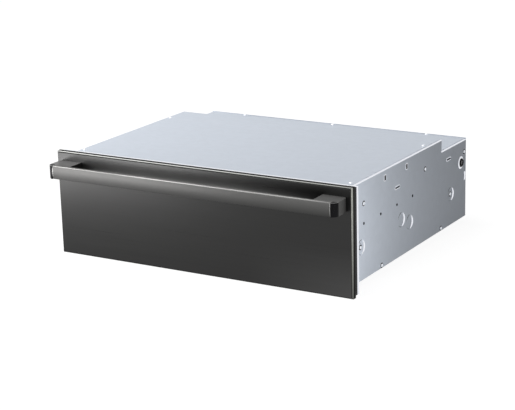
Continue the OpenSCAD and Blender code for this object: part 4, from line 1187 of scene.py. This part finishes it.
BOARD_LOW, BOARD_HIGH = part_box("power_board")
BOARD_T = 1.6 * MM
BOARD_CORNER = 2 * MM
RELAYS = [(-41, -27 + 23 * i, (19, 15, 16), 0.8) for i in range(3)]
RELAYS += [(4 + 13 * i, 30, (7, 5, 2), 0.3) for i in range(4)]
RELAYS += [(45, 10, (12, 12, 2.2), 0.4)]
COIL_X, COIL_Y, COIL_Z = 32, -14, 22
CORES = [(COIL_X, COIL_Y, (42, 36, 22), 0.6)]
CORES += [(COIL_X + offset, COIL_Y, (5, 36, 28), 0.6) for offset in (-18.5, 18.5)]
CORES += [(-16 + 5 * i, -38, (3, 4, 7), 0.3) for i in range(6)]
WIRE_GAP = 1.5
WIRES = [COIL_X + (i - 8.5) * WIRE_GAP for i in range(18)]
CANS = [(3, 12, 8, 26), (20, 16, 4, 12), (-20, 30, 4, 12), (-10, 24, 3, 9)]


def on_board(x, y, z):
    middle = (BOARD_LOW + BOARD_HIGH) / 2
    return Vector((middle.x + x * MM, middle.y + y * MM, BOARD_LOW.z + BOARD_T + z * MM))


def add_board():
    width, depth, _ = BOARD_HIGH - BOARD_LOW
    outline = rounded_outline(width / MM, depth / MM, BOARD_CORNER / MM)
    builder = bmesh.new()
    loop_faces(builder, [
        [on_board(u, v, z) for u, v in outline] for z in (-BOARD_T / MM, 0)
    ], closed_ends=True)
    replace_node("power_board", builder, BOARD)


def add_blocks(name, material, blocks):
    builder = bmesh.new()
    for x, y, (width, depth, height), chamfer in blocks:
        loop_faces(builder, [
            [on_board(x + u, y + v, z) for u, v in bar_outline(width - 2 * inset, depth - 2 * inset)]
            for inset, z in [(0, 0), (0, height - chamfer), (chamfer, height)]
        ], closed_ends=True)
    add_piece(name, builder, material)


def add_winding():
    builder = bmesh.new()
    for x in WIRES:
        place = Matrix.Translation(on_board(x, COIL_Y, COIL_Z)) @ Matrix.Rotation(pi / 2, 4, "Y")
        lathe(builder, [(5.6 * MM, -0.7 * MM), (6 * MM, 0), (5.6 * MM, 0.7 * MM)], place, 20)
    add_piece("power_board_winding", builder, BRASS)


def add_capacitors():
    builder = bmesh.new()
    for x, y, r, h in CANS:
        profile = [(0.9 * r, 0), (r, 0.8), (r, 1.8), (0.93 * r, 2.4), (r, 3.2)]
        profile += [(r, h - 0.8), (0.9 * r, h), (0.3 * r, h - 0.3)]
        place = Matrix.Translation(on_board(x, y, 0))
        lathe(builder, [(a * MM, b * MM) for a, b in profile], place, 28)
    add_piece("power_board_capacitors", builder, BLACK_PLASTIC)


# Floor, world and light

FLOOR_GAP = 0.1 * MM
FLOOR_SIZE = 24
FLOOR_PAINT = 0.15
FLOOR_GLOW = 0.93
AMBIENT = 0.09


def seen_directly(owner):
    """A value that is 1 for camera, glossy and transmission rays and 0 for the rest."""
    rays = add_node(owner, "LightPath").outputs
    either = math_node(owner, "MAXIMUM", rays["Is Camera Ray"], rays["Is Glossy Ray"])
    return math_node(owner, "MAXIMUM", either, rays["Is Transmission Ray"])


def floor_paint():
    """Grey paint that glows white where it is seen directly."""
    material = bpy.data.materials.new("floor")
    material.use_nodes = True
    material.node_tree.nodes.clear()
    paint = add_node(material, "BsdfDiffuse", Color=[FLOOR_PAINT] * 3)
    strength = math_node(material, "MULTIPLY", seen_directly(material), FLOOR_GLOW)
    glow = add_node(material, "Emission", Color=(1, 1, 1), Strength=strength)
    mixed = add_node(material, "AddShader")
    feed(material, mixed.inputs[0], paint.outputs["BSDF"])
    feed(material, mixed.inputs[1], glow.outputs["Emission"])
    add_node(material, "OutputMaterial", Surface=mixed.outputs["Shader"])
    return material


def add_floor():
    builder = bmesh.new()
    level = SOLID_BOX[0][2] - FLOOR_GAP
    corners = bar_outline(FLOOR_SIZE, FLOOR_SIZE)
    builder.faces.new([builder.verts.new((x, y, level)) for x, y in corners])
    add_object("floor", builder, floor_paint())


def add_world():
    world = bpy.data.worlds.new("studio")
    bpy.context.scene.world = world
    world.use_nodes = True
    background = world.node_tree.nodes["Background"]
    feed(world, background.inputs["Color"], (1, 1, 1))
    feed(world, background.inputs["Strength"], remap(world, seen_directly(world), AMBIENT, 1.0))


def add_light(name, kind, direction, power, place=(0, 0, 0)):
    data = bpy.data.lights.new(name, kind)
    data.energy = power
    lamp = bpy.data.objects.new(name, data)
    lamp.location = place
    lamp.rotation_euler = Vector(direction).to_track_quat("-Z", "Y").to_euler()
    bpy.context.scene.collection.objects.link(lamp)
    return lamp


def add_lamp(name, place, target, size, power, in_reflections=True):
    lamp = add_light(name, "AREA", Vector(target) - Vector(place), power, place)
    lamp.data.shape = "RECTANGLE"
    lamp.data.size, lamp.data.size_y = size
    lamp.visible_camera = False
    lamp.visible_glossy = in_reflections


def add_lights():
    sun = add_light("sun", "SUN", (0.35, 0.25, -1), 1.8)
    sun.data.angle = radians(40)
    add_lamp("top_left_lamp", (-1.1, -0.15, 1.4), (-0.1, 0, 0.2), (0.9, 0.9), 9)
    add_lamp("right_front_lamp", (0.72, -0.66, 0.02), (0.36, -0.1, 0.12), (0.3, 0.3), 5.6, False)
    add_lamp("left_front_lamp", (-0.73, -0.84, 0.18), (-0.1, -0.33, 0.15), (0.76, 0.38), 9.0)


add_camera()
dress_solids()
add_pan_head_screws()
add_slide_screws()
add_shade_washers()
for add_side_pieces in (add_side_highlights, add_shade_liners, add_pressing_shades):
    add_side_pieces("right", 1)
    add_side_pieces("left", -1)
add_top_bend_highlights()
add_flange_return()
add_handle_edge_highlights()
add_bushing_body()
add_bushing_petals()
add_bushing_collar()
add_louvres()
add_pan()
add_pan_beads()
add_gasket()
add_key_marks()
add_board()
add_blocks("power_board_relays", BLACK_PLASTIC, RELAYS)
add_blocks("power_board_transformer", LINER_STEEL, CORES)
add_winding()
add_capacitors()
add_floor()
add_world()
add_lights()
bpy.context.scene.view_settings.view_transform = "Standard"
